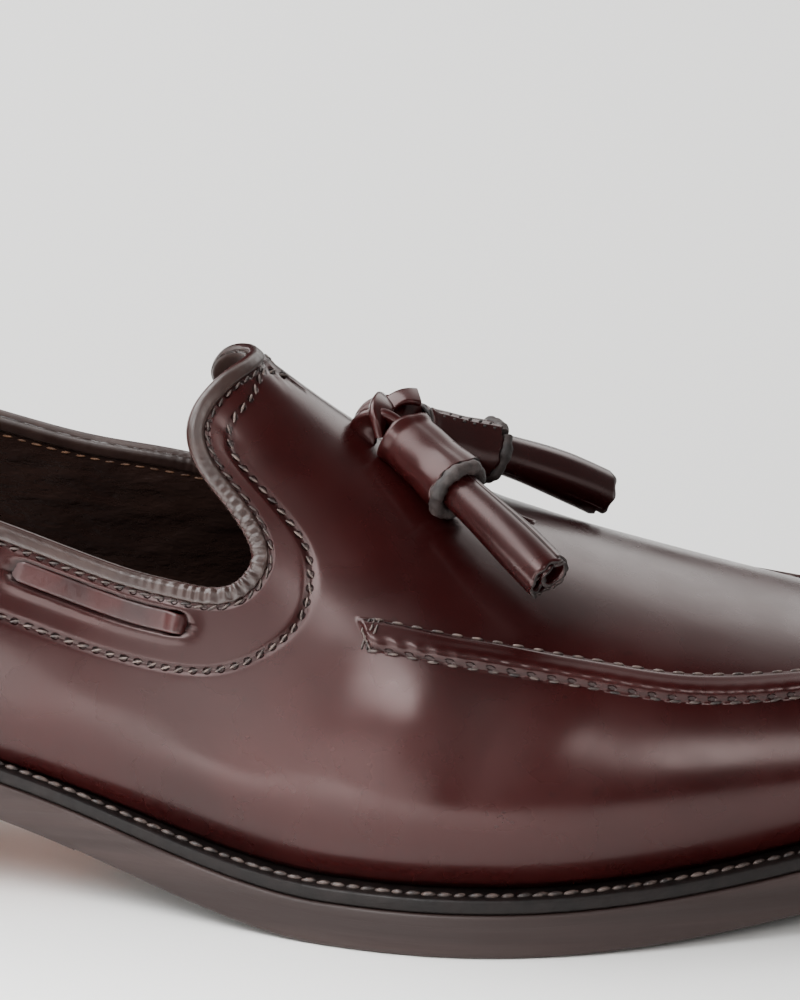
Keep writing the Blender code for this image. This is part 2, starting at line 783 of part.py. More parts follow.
def lace_places():
    runs = []
    for name, side, way in LACE_WINDOWS:
        gone, ways, _ = topline_steps(side)
        runs.append((name, side, float(np.interp(way, ways, gone)), LACE_RUN / 2))
    runs.append(("heel", -1, 0.0, HEEL_LACE_HALF))
    return runs


def lace_cutters(collection):
    made = []
    for name, side, middle, half_run in lace_places():
        half_width = LACE_WIDTH / 2 + WINDOW_MARGIN
        points, normals = lace_path(side, middle, half_run, half_width)
        mesh = strip("window_" + name, points, normals, half_width, -LACE_SINK - GAP, 3 * WALL)
        cutter = object_of("window_" + name, mesh, collection, "oxblood", smooth=False)
        cutter.hide_render = True
        cutter.display_type = "WIRE"
        made.append(cutter)
    return made


def build_laces(collection):
    for name, side, middle, half_run in lace_places():
        inside = half_run - WINDOW_MARGIN
        points, normals = lace_path(side, middle, inside, LACE_WIDTH / 2)
        high = LACE_THICKNESS - LACE_SINK
        mesh = strip("collar_lace_" + name, points, normals, LACE_WIDTH / 2, -LACE_SINK, high)
        object_of("collar_lace_" + name, mesh, collection, "oxblood")


# Stations along the sole with its two edges, closer together where the outline turns.
def edge_rows(share_of_margin, extra, start, end, count):
    ways = np.linspace(0, 1, OUTLINE_STEPS)
    edges = {side: offset_outline(side, ways, share_of_margin, extra) for side in (-1, 1)}
    first = max(start, edges[-1][0, 0])
    last = min(end, edges[-1][-1, 0])
    turn = 0.5 - 0.5 * np.cos(np.linspace(0, math.pi, count))
    even = np.linspace(0, 1, count)
    blend_low = 1.0 if start <= first else 0.0
    blend_high = 1.0 if end >= last else 0.0
    blend = blend_low * (1 - even) + blend_high * even
    xs = first + (last - first) * (blend * turn + (1 - blend) * even)
    rows = []
    for x in xs:
        pair = [np.interp(x, edges[side][:, 0], edges[side][:, 1]) for side in (-1, 1)]
        rows.append((x, *pair))
    return rows


def plate(name, rows, bottom, top, collection, colour):
    rings = []
    for x, outer, inner in rows:
        low, high = float(bottom(x)), float(top(x))
        rings.append([(x, outer, low), (x, inner, low), (x, inner, high), (x, outer, high)])
    return object_of(name, loft(name, rings), collection, colour)


def leather_underside(x):
    return tread_line(x) if x <= RUBBER_START else sole_top(x) - FOREPART_LEATHER


def rubber_top(x):
    return sole_top(x) - FOREPART_LEATHER - GAP


def build_sole(collection):
    rows = edge_rows(1.0, 0.0, -NO_LIMIT, RUBBER_START, SOLE_STATIONS // 2)
    rows += edge_rows(1.0, 0.0, RUBBER_START + GAP, NO_LIMIT, SOLE_STATIONS)
    plate("outsole", rows, leather_underside, sole_top, collection, "sole edge")
    rows = edge_rows(1.0, 0.0, RUBBER_START + 2 * GAP, NO_LIMIT, SOLE_STATIONS)
    plate("forepart_rubber", rows, tread_line, rubber_top, collection, "rubber")


def build_welt(collection):
    ways = 0.5 - 0.5 * np.cos(np.linspace(0, math.pi, SOLE_STATIONS))
    rings = []
    for side in (-1, 1):
        outer = offset_outline(side, ways, 1.0, -GAP)
        inner = offset_outline(side, ways, 0.0, -WELT_SEAT)
        half = []
        for o, i in zip(outer, inner):
            low_o, low_i = sole_top(o[0]) + GAP, sole_top(i[0]) + GAP
            half.append([
                (o[0], o[1], low_o), (o[0], o[1], low_o + WELT),
                (i[0], i[1], low_i + WELT), (i[0], i[1], low_i),
            ])
        rings += half if side < 0 else half[::-1][1:-1]
    object_of("welt", loft("welt", rings, True), collection, "dark edge")


def build_insole(collection):
    rows = edge_rows(0.0, -WELT_SEAT - 3 * GAP, -NO_LIMIT, NO_LIMIT, SOLE_STATIONS)
    plate(
        "insole", rows, lambda x: sole_top(x) + GAP,
        lambda x: feather_height(x) + INSOLE_RISE, collection, "lining",
    )


# The heel's plan: the sole's outline round the back, and a hollow breast across the front.
def heel_plan(draw_in):
    ways = np.linspace(0, 1, OUTLINE_STEPS)
    points = []
    for side in (-1, 1):
        edge = offset_outline(side, ways, 1.0, -draw_in)
        keep = edge[edge[:, 0] <= HEEL_LENGTH]
        gone = chord_knots(keep)
        at = np.linspace(0, gone[-1], HEEL_STEPS)
        half = np.stack([np.interp(at, gone, keep[:, 0]), np.interp(at, gone, keep[:, 1])], -1)
        points.append(half)
    outer, inner = points
    breast = []
    for share in np.linspace(0, 1, BREAST_STEPS)[1:-1]:
        y = inner[-1, 1] + (outer[-1, 1] - inner[-1, 1]) * share
        breast.append((HEEL_LENGTH - BREAST_HOLLOW * 4 * share * (1 - share), y))
    return np.vstack([outer[::-1], inner[1:], np.array(breast)])


def build_heel(collection):
    def ring(height_of, share):
        plan = heel_plan(HEEL_TAPER * share)
        return [(x, y, height_of(x)) for x, y in plan]

    split = TOP_LIFT / HEEL_HEIGHT
    stack = [
        ring(lambda x: TOP_LIFT + GAP, 1 - split),
        ring(lambda x: float(tread_line(x)) - GAP, 0.0),
    ]
    object_of("heel_stack", loft("heel_stack", stack), collection, "sole edge")
    lift = [ring(lambda x: 0.0, 1.0), ring(lambda x: TOP_LIFT, 1 - split)]
    object_of("heel_top_lift", loft("heel_top_lift", lift), collection, "rubber")


# A turned and pressed form along a straight axis. Each row gives distance along and a radius for
# each side, so that a ring can be round or lobed.
def along_axis(name, start, end, rows, up):
    axis = (end - start).normalized()
    side = axis.cross(up).normalized()
    top = side.cross(axis).normalized()
    rings = []
    for gone, radii in rows:
        centre = start + axis * gone
        ring = []
        for k, radius in enumerate(radii):
            turn = 2 * math.pi * k / len(radii)
            ring.append(centre + side * (radius * math.cos(turn)) + top * (radius * math.sin(turn)))
        rings.append(ring)
    return loft(name, rings)


def round_row(gone, radius):
    return (gone, [radius] * TASSEL_SIDES)


def fringe_row(gone, radius):
    sides = 2 * FRINGE_STRIPS
    radii = [radius - STRIP_RELIEF * (k % 2) for k in range(sides)]
    return (gone, radii)


# Cap, ring and fringe as one solid, from the loop of the lace to the cut ends of the strips.
def tassel_rows():
    ring_centre = CAP_LENGTH + RING_RADIUS
    rows = [round_row(CAP_LENGTH * gone, CAP_RADIUS * wide) for gone, wide in CAP_PROFILE]
    rows.append(round_row(CAP_LENGTH, CAP_FLARE))
    for turn in RING_TURNS:
        angle = math.radians(turn)
        out = CAP_FLARE + RING_RADIUS * math.cos(angle) * RING_STAND
        rows.append(round_row(ring_centre + RING_RADIUS * math.sin(angle), out))
    base = ring_centre + RING_RADIUS
    spread = FRINGE_RADIUS - NECK_RADIUS
    for gone, share in FRINGE_PROFILE:
        rows.append(fringe_row(base + FRINGE_LENGTH * gone, NECK_RADIUS + spread * share))
    return rows


def height_over(tree, x, y):
    hit = tree.ray_cast(Vector((x, y, 2 * INSTEP_HEIGHT)), Vector((0, 0, -1)))
    return hit[0].z


# The straight axis that just clears the leather along the whole tassel. Of the slopes it may have,
# the one that lies lowest is taken.
def rest_axis(tree, start_xy, end_xy, rows, lift):
    total = rows[-1][0]
    start = Vector((*start_xy, 0))
    heading = (Vector((*end_xy, 0)) - start).normalized()
    aside = Vector((-heading.y, heading.x, 0))
    gone = np.linspace(0, total, REST_STEPS)
    wide = np.interp(gone, [row[0] for row in rows], [max(row[1]) for row in rows]) + 2 * GAP
    best = None
    for slope in np.linspace(*REST_SLOPES, REST_STEPS):
        tilt = math.sqrt(1 + slope * slope)
        need = 0.0
        for along, radius in zip(gone / tilt, wide):
            spot = start + heading * along
            for sway in REST_SWAYS:
                under = spot + aside * (radius * sway)
                clear = radius * math.sqrt(1 - sway * sway) * tilt
                need = max(need, height_over(tree, under.x, under.y) + clear - slope * along)
        middle = need + slope * total / tilt / 2
        if best is None or middle < best[0]:
            best = (middle, need, slope, total / tilt)
    _, base, slope, flat = best
    tip = start + heading * flat
    return Vector((start.x, start.y, base)), Vector((tip.x, tip.y, base + slope * flat + lift))


def build_tassels(collection, upper):
    graph = bpy.context.evaluated_depsgraph_get()
    tree = BVHTree.FromObject(upper, graph)
    knot_x = KNOT_STATION * LENGTH
    knot_y = float(RIDGE_AT(KNOT_STATION)[1]) * BALL_WIDTH
    rows = tassel_rows()
    for name, side, begin, finish, lift in TASSELS:
        start_xy, end_xy = (
            (knot_x + past * KNOT_LENGTH, knot_y + side * out * KNOT_LENGTH)
            for past, out in (begin, finish)
        )
        start, end = rest_axis(tree, start_xy, end_xy, rows, lift * KNOT_LENGTH)
        mesh = along_axis("tassel_" + name, start, end, rows, Vector(TASSEL_UP).normalized())
        object_of("tassel_" + name, mesh, collection, "oxblood")
    build_knot(collection, tree, knot_x, knot_y)


# The lace knotted across the ridge, a barrel of leather between the two tassels.
def build_knot(collection, tree, knot_x, knot_y):
    x = knot_x - KNOT_BACK
    half = KNOT_LENGTH / 2
    rows = [round_row(KNOT_LENGTH * gone, KNOT_RADIUS * wide) for gone, wide in KNOT_PROFILE]
    need = 0.0
    for sway in REST_SWAYS:
        clear = (KNOT_RADIUS + GAP) * math.sqrt(1 - sway * sway)
        for share in REST_SWAYS:
            leather = height_over(tree, x + sway * KNOT_RADIUS, knot_y + share * half)
            need = max(need, leather + clear)
    start = Vector((x, knot_y - half, need))
    end = Vector((x, knot_y + half, need))
    mesh = along_axis("tassel_knot", start, end, rows, Vector((0, 0, 1)))
    object_of("tassel_knot", mesh, collection, "oxblood")


# The origin goes to the middle of the shoe's box, on the floor.
def centre_on_floor(objects):
    bpy.context.view_layer.update()
    graph = bpy.context.evaluated_depsgraph_get()
    low = np.full(2, np.inf)
    high = np.full(2, -np.inf)
    for obj in objects:
        if obj.hide_render:
            continue
        for corner in obj.evaluated_get(graph).bound_box:
            low = np.minimum(low, corner[:2])
            high = np.maximum(high, corner[:2])
    shift = -(low + high) / 2
    for mesh in {obj.data for obj in objects}:
        for vertex in mesh.vertices:
            vertex.co.x += shift[0]
            vertex.co.y += shift[1]


def main():
    clear_scene()
    parts = new_collection("tassel_loafer")
    cutters = new_collection("cutters")
    upper = build_upper(parts, cutters)
    build_binding(parts)
    build_laces(parts)
    build_sole(parts)
    build_welt(parts)
    build_insole(parts)
    build_heel(parts)
    bpy.context.view_layer.update()
    build_tassels(parts, upper)
    centre_on_floor(list(parts.objects) + list(cutters.objects))


main()
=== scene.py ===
# Tassel loafer for the right foot, toe towards +X, outer side towards -Y, standing on Z = 0.
# The leather is laid on the form of the last, which the tables below give in the shoe's own sizes.
import math
import bpy
import bmesh
import numpy as np
from mathutils import Matrix, Vector, noise
from mathutils.bvhtree import BVHTree


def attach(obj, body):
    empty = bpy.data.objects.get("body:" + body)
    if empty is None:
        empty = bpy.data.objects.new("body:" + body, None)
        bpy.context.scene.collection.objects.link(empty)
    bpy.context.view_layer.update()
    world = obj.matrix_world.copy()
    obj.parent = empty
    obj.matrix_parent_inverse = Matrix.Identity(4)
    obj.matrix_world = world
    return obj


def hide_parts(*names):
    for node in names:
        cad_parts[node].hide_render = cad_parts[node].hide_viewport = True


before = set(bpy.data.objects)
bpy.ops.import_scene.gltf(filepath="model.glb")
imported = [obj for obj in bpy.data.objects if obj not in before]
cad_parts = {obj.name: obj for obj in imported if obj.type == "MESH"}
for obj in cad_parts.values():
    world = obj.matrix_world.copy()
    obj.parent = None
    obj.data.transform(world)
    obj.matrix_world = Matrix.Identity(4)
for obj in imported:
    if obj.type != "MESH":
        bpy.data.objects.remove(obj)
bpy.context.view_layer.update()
print("frame loaded")

# camera
view = {
    "turn": 6.9,            # degrees to the right of straight onto the outer side
    "height": 19.5,         # degrees above level
    "roll": -1.5,
    "distance": 1.2,
    "target": (0.0274, 0.0, 0.0728),
    "pixelsPerMetre": 5200.4,
    "frameHeight": 1000,
    "sensor": 36,
}


# a direction from its turn to the right of straight onto the outer side and its height, in degrees
def towards(turn, lift, distance=1.0):
    turn, lift = math.radians(turn), math.radians(lift)
    flat = math.cos(lift)
    return Vector((math.sin(turn) * flat, -math.cos(turn) * flat, math.sin(lift))) * distance


back = towards(view["turn"], view["height"])
turn, roll = math.radians(view["turn"]), math.radians(view["roll"])
right = Vector((math.cos(turn), math.sin(turn), 0))
up = back.cross(right)
rolledRight = right * math.cos(roll) + up * math.sin(roll)
rolledUp = up * math.cos(roll) - right * math.sin(roll)
cameraData = bpy.data.cameras.new("camera")
cameraData.sensor_fit = "VERTICAL"
cameraData.sensor_height = view["sensor"]
cameraData.lens = view["pixelsPerMetre"] * view["distance"] / view["frameHeight"] * view["sensor"]
camera = bpy.data.objects.new("camera", cameraData)
place = Matrix((rolledRight, rolledUp, back)).transposed().to_4x4()
place.translation = Vector(view["target"]) + back * view["distance"]
camera.matrix_world = place
bpy.context.scene.collection.objects.link(camera)
bpy.context.scene.camera = camera

# the last and the sole's own sizes, in metres
last = {
    "length": 0.288,
    "ballWidth": 0.0925,
    "instepHeight": 0.1,
    "archSpread": 0.006,
    "wall": 0.002,
    "gap": 0.0003,
    "origin": (-0.14509443, 0.00143416, 0.0),
    "spineHeel": 0.125,
    "spineToe": 0.880,
    "spineBlend": 0.028,
    "sectionKnots": (0.0, 0.17, 0.37, 0.67, 1.0),
    # feather edge: share of the length, share of the ball's width towards the inner side
    "outline": (
        (0.000, 0.000), (0.045, -0.228), (0.140, -0.318), (0.280, -0.325), (0.410, -0.345),
        (0.530, -0.440), (0.632, -0.520), (0.762, -0.474), (0.880, -0.356), (0.966, -0.222),
        (1.000, 0.020), (0.966, 0.252), (0.880, 0.392), (0.745, 0.492), (0.620, 0.428),
        (0.505, 0.285), (0.395, 0.238), (0.280, 0.272), (0.140, 0.314), (0.045, 0.228),
    ),
    # ridge: share of the length, share of the instep's height, share of the ball's width inwards
    "ridge": (
        (0.08, 1.50, 0.000), (0.22, 1.44, 0.000), (0.36, 1.31, 0.005), (0.44, 1.16, 0.015),
        (0.50, 1.02, 0.020), (0.57, 0.86, 0.025), (0.65, 0.72, 0.030), (0.74, 0.615, 0.032),
        (0.83, 0.540, 0.028), (0.92, 0.480, 0.020),
    ),
    # way round, spread outer and inner, widest up, side out and up, shoulder out and up
    "sections": (
        (0.00, 0.60, 0.60, 0.150, 0.915, 0.420, 0.640, 0.800),
        (0.14, 0.60, 0.60, 0.150, 0.900, 0.420, 0.610, 0.800),
        (0.30, 0.60, 1.10, 0.150, 0.850, 0.420, 0.540, 0.790),
        (0.42, 0.65, 1.50, 0.160, 0.840, 0.420, 0.500, 0.790),
        (0.53, 0.70, 1.30, 0.180, 0.885, 0.440, 0.520, 0.810),
        (0.64, 0.75, 0.85, 0.220, 0.920, 0.490, 0.590, 0.830),
        (0.76, 0.70, 0.70, 0.270, 0.940, 0.540, 0.620, 0.860),
        (0.88, 0.60, 0.60, 0.310, 0.930, 0.590, 0.630, 0.885),
        (1.00, 0.60, 0.60, 0.330, 0.920, 0.600, 0.620, 0.890),
    ),
    # topline: way round, way up
    "toplineOuter": (
        (0.000, 0.445), (0.080, 0.432), (0.180, 0.415), (0.280, 0.402), (0.360, 0.400), (0.400, 0.408),
        (0.430, 0.422), (0.455, 0.442), (0.474, 0.461), (0.488, 0.486), (0.497, 0.520), (0.500, 0.552),
        (0.493, 0.583), (0.479, 0.608), (0.465, 0.634), (0.459, 0.670), (0.460, 0.712), (0.468, 0.780),
        (0.478, 0.854), (0.487, 0.935), (0.490, 1.000),
    ),
    "toplineInner": (
        (0.000, 0.445), (0.080, 0.434), (0.180, 0.418), (0.280, 0.408), (0.340, 0.414), (0.380, 0.432),
        (0.415, 0.462), (0.442, 0.486), (0.466, 0.504), (0.482, 0.522), (0.491, 0.548), (0.493, 0.576),
        (0.487, 0.604), (0.475, 0.630), (0.464, 0.658), (0.459, 0.692), (0.461, 0.730), (0.469, 0.790),
        (0.479, 0.858), (0.487, 0.935), (0.490, 1.000),
    ),
    "toplineCorner": 11,
    # apron seam: way round, way up on the outer and on the inner side
    "apron": (
        (0.00, 0.250, 0.250), (0.30, 0.260, 0.260), (0.46, 0.345, 0.350), (0.53, 0.465, 0.450),
        (0.575, 0.528, 0.510), (0.615, 0.560, 0.540), (0.66, 0.585, 0.552), (0.71, 0.590, 0.538),
        (0.76, 0.582, 0.536), (0.81, 0.600, 0.562), (0.86, 0.635, 0.608), (0.93, 0.660, 0.650),
        (1.00, 0.665, 0.665),
    ),
    "apronStart": 0.572,
}
sole = {
    "heelHeight": 0.027, "seatDrop": 0.0025, "heelLength": 0.067, "breastHollow": 0.004,
    "heelTaper": 0.0022, "topLift": 0.0062, "treadStart": 0.162, "treadEnd": 0.197,
    "toeSpring": 0.0135, "leather": 0.0070, "rubber": 0.0052, "rubberStart": 0.112,
    "foreLeather": 0.0036, "welt": 0.0028, "margin": 0.0058, "weltSeat": 0.0026, "sockRise": 0.0018,
    # way round, share of the margin
    "marginAt": ((0.00, 0.50), (0.20, 0.50), (0.34, 0.62), (0.44, 0.90), (0.58, 1.00), (1.00, 1.00)),
}


def smoothThrough(knots, values, ends=("free", "free"), closed=False):
    t = np.asarray(knots, float)
    y = np.asarray(values, float)
    y = y[:, None] if y.ndim == 1 else y
    count = len(t)
    h = np.diff(t)
    system = np.zeros((count, count))
    wanted = np.zeros_like(y)
    for k in range(1, count - 1):
        system[k, k - 1:k + 2] = h[k], 2 * (h[k - 1] + h[k]), h[k - 1]
        wanted[k] = 3 * (h[k] * (y[k] - y[k - 1]) / h[k - 1] + h[k - 1] * (y[k + 1] - y[k]) / h[k])
    if closed:
        system[0, 0], system[0, -1] = 1, -1
        system[-1, [0, 1, -2, -1]] = 2 * h[-1], h[-1], h[0], 2 * h[0]
        wanted[-1] = 3 * (h[-1] * (y[1] - y[0]) / h[0] + h[0] * (y[-1] - y[-2]) / h[-1])
    else:
        for row, near, step, end in ((0, 1, h[0], ends[0]), (-1, -2, h[-1], ends[1])):
            system[row, row] = 1 if end == "flat" else 2
            if end != "flat":
                system[row, near] = 1
                wanted[row] = 3 * (y[near] - y[row]) / step * (1 if row == 0 else -1)
    slope = np.linalg.solve(system, wanted)

    def at(where):
        w = np.asarray(where, float)
        k = np.clip(np.searchsorted(t, w, side="right") - 1, 0, count - 2)
        step = h[k]
        s = ((w - t[k]) / step)[..., None]
        step = step[..., None]
        return ((1 + 2 * s) * (1 - s) ** 2 * y[k] + s * (1 - s) ** 2 * step * slope[k]
                + s * s * (3 - 2 * s) * y[k + 1] + s * s * (s - 1) * step * slope[k + 1])

    return at


def smoothStep(low, high, value):
    s = np.clip((np.asarray(value, float) - low) / (high - low), 0, 1)
    return s * s * (3 - 2 * s)


def chordKnots(points):
    return np.concatenate([[0.0], np.cumsum(np.linalg.norm(np.diff(np.asarray(points), axis=0), axis=1))])


def unit(vectors):
    return vectors / np.linalg.norm(vectors, axis=-1, keepdims=True)


def headings(points):
    return unit(np.gradient(points, axis=0))


def tableCurve(rows):
    data = np.array(rows, float)
    return smoothThrough(data[:, 0], data[:, 1:], ("flat", "flat"))


def lastOutline():
    rows = [(x * last["length"], y * last["ballWidth"]) for x, y in last["outline"]]
    rows.append(rows[0])
    knots = chordKnots(rows)
    dense = smoothThrough(knots, rows, closed=True)(np.linspace(0, knots[-1], 4001))[:-1]
    dense = np.roll(dense, -int(np.argmin(dense[:, 0])), axis=0)
    dense = np.vstack([dense, dense[:1]])
    dense[:, 0] -= dense[0, 0]
    toe = int(np.argmax(dense[:, 0]))
    halves = {}
    for side, half in ((-1, dense[:toe + 1]), (1, dense[toe:][::-1])):
        way = chordKnots(half)
        halves[side] = (way / way[-1], half)
    return halves


outline = lastOutline()
length = max(half[-1, 0] for _, half in outline.values())
origin = np.array(last["origin"])
marginAt = tableCurve(sole["marginAt"])
ridgeAt = smoothThrough([row[0] for row in last["ridge"]], [row[1:] for row in last["ridge"]])
sectionAt = tableCurve(last["sections"])
apronAt = tableCurve(last["apron"])
radialWeights = smoothThrough(last["sectionKnots"], np.eye(5))
heightWeights = smoothThrough(last["sectionKnots"], np.eye(5), ("free", "flat"))


def outlinePoint(side, way):
    share, half = outline[side]
    return np.stack([np.interp(way, share, half[:, 0]), np.interp(way, share, half[:, 1])], -1)


def outlineNormal(side, way):
    way = np.asarray(way, float)
    ahead = outlinePoint(side, np.clip(way + 1e-3, 0, 1)) - outlinePoint(side, np.clip(way - 1e-3, 0, 1))
    normal = np.stack([ahead[..., 1], -ahead[..., 0]], -1) * -side
    normal = np.where((way <= 0)[..., None], np.array([-1.0, 0.0]), normal)
    normal = np.where((way >= 1)[..., None], np.array([1.0, 0.0]), normal)
    return unit(normal)


def offsetOutline(side, way, shareOfMargin, extra):
    out = marginAt(way)[..., 0] * sole["margin"] * shareOfMargin + extra
    return outlinePoint(side, way) + outlineNormal(side, way) * out[..., None]


def treadLine(x):
    x = np.asarray(x, float)
    slope = sole["seatDrop"] / sole["heelLength"]
    span = sole["treadStart"] - sole["heelLength"]
    s = np.clip((x - sole["heelLength"]) / span, 0, 1)
    waist = ((1 + 2 * s) * (1 - s) ** 2 * (sole["heelHeight"] - sole["seatDrop"])
             - s * (1 - s) ** 2 * span * slope)
    past = np.clip((x - sole["treadEnd"]) / (length + sole["margin"] - sole["treadEnd"]), 0, None)
    seat = sole["heelHeight"] - slope * x
    return np.where(x <= sole["heelLength"], seat, waist) + sole["toeSpring"] * past ** 2


def soleTop(x):
    fore = smoothStep(sole["heelLength"], sole["treadStart"], x)
    return treadLine(x) + sole["leather"] + (sole["rubber"] - sole["leather"] + sole["foreLeather"]) * fore


def featherHeight(x):
    return soleTop(x) + sole["welt"] + 2 * last["gap"]


def spine(way):
    mean = (outlinePoint(-1, way)[..., 0] + outlinePoint(1, way)[..., 0]) / 2
    soft, low, high = (last[k] * length for k in ("spineBlend", "spineHeel", "spineToe"))
    x = low + soft * np.log1p(np.exp((mean - low) / soft))
    return high - soft * np.log1p(np.exp((high - x) / soft))


# a point of the leather's outer face, in the shoe's frame: way round from heel to toe, way up to the ridge
def lastPoint(side, way, up):
    way, up = np.asarray(way, float), np.asarray(up, float)
    x = spine(way)
    ridge = ridgeAt(x / length)
    slope = (ridgeAt(x / length + 1e-3)[..., 0] - ridgeAt(x / length - 1e-3)[..., 0])
    slope = slope * last["instepHeight"] / (2e-3 * length)
    middle = np.stack([x, ridge[..., 1] * last["ballWidth"]], -1)
    foot = outlinePoint(side, way)
    reach = foot - middle
    radius = np.linalg.norm(reach, axis=-1)
    outwards = reach / radius[..., None]
    low = featherHeight(foot[..., 0])
    height = ridge[..., 0] * last["instepHeight"] - low
    form = sectionAt(way)
    widest = radius + (form[..., 0] if side < 0 else form[..., 1]) * last["archSpread"]
    zero = np.zeros_like(radius)
    out = np.stack([radius, widest, widest * form[..., 3], widest * form[..., 5], zero], -1)
    rise = np.stack([zero, form[..., 2], form[..., 4], form[..., 6], zero + 1], -1)
    r = (radialWeights(up) * out).sum(-1)
    z = low + height * (heightWeights(up) * rise).sum(-1)
    z = z + slope * outwards[..., 0] * r * up * up * (3 - 2 * up)
    flat = middle + outwards * r[..., None]
    return np.concatenate([flat, z[..., None]], -1) + origin


def halfNormal(side, way, up):
    way = np.clip(np.asarray(way, float), 2e-3, 1 - 2e-3)
    up = np.clip(np.asarray(up, float), 2e-3, 1 - 2e-3)
    along = lastPoint(side, way + 2e-3, up) - lastPoint(side, way - 2e-3, up)
    rise = lastPoint(side, way, up + 2e-3) - lastPoint(side, way, up - 2e-3)
    normal = np.cross(along, rise) * -side
    return unit(normal)


def lastNormal(side, way, up):
    normal = halfNormal(side, way, up)
    atEnd = (np.asarray(way) <= 0) | (np.asarray(way) >= 1)
    return np.where(atEnd[..., None], unit(normal + halfNormal(-side, way, up)), normal)


def toplineRows(side):
    return np.array(last["toplineOuter"] if side < 0 else last["toplineInner"])


def toplineCurve(side):
    rows = toplineRows(side)
    knots = chordKnots(rows * np.array([length, last["instepHeight"]]))
    return smoothThrough(knots, rows), knots


def apronLine(side, way):
    return apronAt(way)[..., 0 if side < 0 else 1]


def finishObject(name, bm, material, angle=40):
    mesh = bpy.data.meshes.new(name)
    bm.to_mesh(mesh)
    bm.free()
    mesh.materials.append(material)
    mesh.shade_smooth()
    mesh.set_sharp_from_angle(angle=math.radians(angle))
    piece = bpy.data.objects.new(name, mesh)
    bpy.context.scene.collection.objects.link(piece)
    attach(piece, "root")
    return piece


# a grid laid where place(across, along) says, with one vertex layer for each named value it gives
def laidGrid(bm, across, along, place, values=(), flip=False):
    if not bm.loops.layers.uv:
        bm.loops.layers.uv.new("UVMap")
    layers = {key: bm.verts.layers.float.get(key) or bm.verts.layers.float.new(key) for key in values}
    made = bmesh.ops.create_grid(bm, x_segments=across, y_segments=along, size=0.5, calc_uvs=True)["verts"]
    flat = np.array([v.co[:2] for v in made]) + 0.5
    column = np.rint(flat[:, 0] * across).astype(int)
    row = np.rint(flat[:, 1] * along).astype(int)
    points, given = place(column, row)
    for k, v in enumerate(made):
        v.co = points[k]
        for key, layer in layers.items():
            v[layer] = given[key][k]
    if flip:
        bmesh.ops.reverse_faces(bm, faces=list({f for v in made for f in v.link_faces}))
    return made


def weld(bm, distance=2e-6):
    bmesh.ops.remove_doubles(bm, verts=bm.verts, dist=distance)
    bmesh.ops.dissolve_degenerate(bm, dist=distance / 2, edges=bm.edges)


def thicken(piece, thickness, offset=-1):
    wall = piece.modifiers.new("wall", "SOLIDIFY")
    wall.thickness = thickness
    wall.offset = offset
    wall.use_quality_normals = True


# a closed rounded bar along a path, with its width given at each station
def sweptBar(bm, path, faces, widths, thick, squareness, sides=16):
    ahead = headings(path)
    across = unit(np.cross(faces, ahead))
    faces = np.cross(ahead, across)

    def at(column, row):
        angle = column / sides * 2 * math.pi
        c, s = np.cos(angle), np.sin(angle)
        wide = np.sign(c) * np.abs(c) ** squareness * widths[row] / 2
        high = np.sign(s) * np.abs(s) ** squareness * thick / 2
        return path[row] + across[row] * wide[:, None] + faces[row] * high[:, None], {}

    made = laidGrid(bm, sides, len(path) - 1, at)
    bmesh.ops.remove_doubles(bm, verts=made, dist=2e-6)
    bmesh.ops.holes_fill(bm, edges=[e for e in bm.edges if e.is_boundary], sides=sides + 2)
    bmesh.ops.recalc_face_normals(bm, faces=bm.faces)


def newMaterial(name, colour, roughness, **sockets):
    material = bpy.data.materials.new(name)
    material.use_nodes = True
    shader = material.node_tree.nodes["Principled BSDF"]
    shader.inputs["Base Color"].default_value = (*colour, 1)
    shader.inputs["Roughness"].default_value = roughness
    for key, value in sockets.items():
        shader.inputs[key].default_value = value
    return material


def node(material, kind, inputs=(), **settings):
    made = material.node_tree.nodes.new(kind)
    for key, value in settings.items():
        setattr(made, key, value)
    for key, value in dict(inputs).items():
        if isinstance(value, bpy.types.NodeSocket):
            material.node_tree.links.new(value, made.inputs[key])
        else:
            made.inputs[key].default_value = value
    return made


def math2(material, operation, a, b=0.0):
    return node(material, "ShaderNodeMath", {0: a, 1: b}, operation=operation).outputs[0]


def calculator(material):
    return lambda operation, a, b=0.0: math2(material, operation, a, b)


def largest(material, sockets):
    most = sockets[0]
    for other in sockets[1:]:
        most = math2(material, "MAXIMUM", most, other)
    return most


def mapped(material, value, low, high, toLow, toHigh):
    inputs = {"Value": value, "From Min": low, "From Max": high, "To Min": toLow, "To Max": toHigh}
    return node(material, "ShaderNodeMapRange", inputs, interpolation_type="SMOOTHSTEP").outputs[0]


def noiseAt(material, scale, detail=3.0, stretch=None):
    coords = node(material, "ShaderNodeTexCoord").outputs["Object"]
    if stretch:
        coords = node(material, "ShaderNodeMapping", {"Vector": coords, "Scale": stretch}).outputs[0]
    inputs = {"Vector": coords, "Scale": scale, "Detail": detail, "Roughness": 0.5}
    return node(material, "ShaderNodeTexNoise", inputs).outputs["Fac"]


def mixColours(material, amount, first, second):
    made = node(material, "ShaderNodeMix", data_type="RGBA")
    for key, value in ((0, amount), (6, first), (7, second)):
        if isinstance(value, bpy.types.NodeSocket):
            material.node_tree.links.new(value, made.inputs[key])
        else:
            made.inputs[key].default_value = value if key == 0 else (*value, 1)
    return made.outputs[2]


def bumpOf(material, height, distance, strength=1.0, normal=None):
    inputs = {"Height": height, "Distance": distance, "Strength": strength}
    if normal:
        inputs["Normal"] = normal
    return node(material, "ShaderNodeBump", inputs).outputs[0]


def wire(material, socket, value):
    shader = material.node_tree.nodes["Principled BSDF"]
    material.node_tree.links.new(value, shader.inputs[socket])


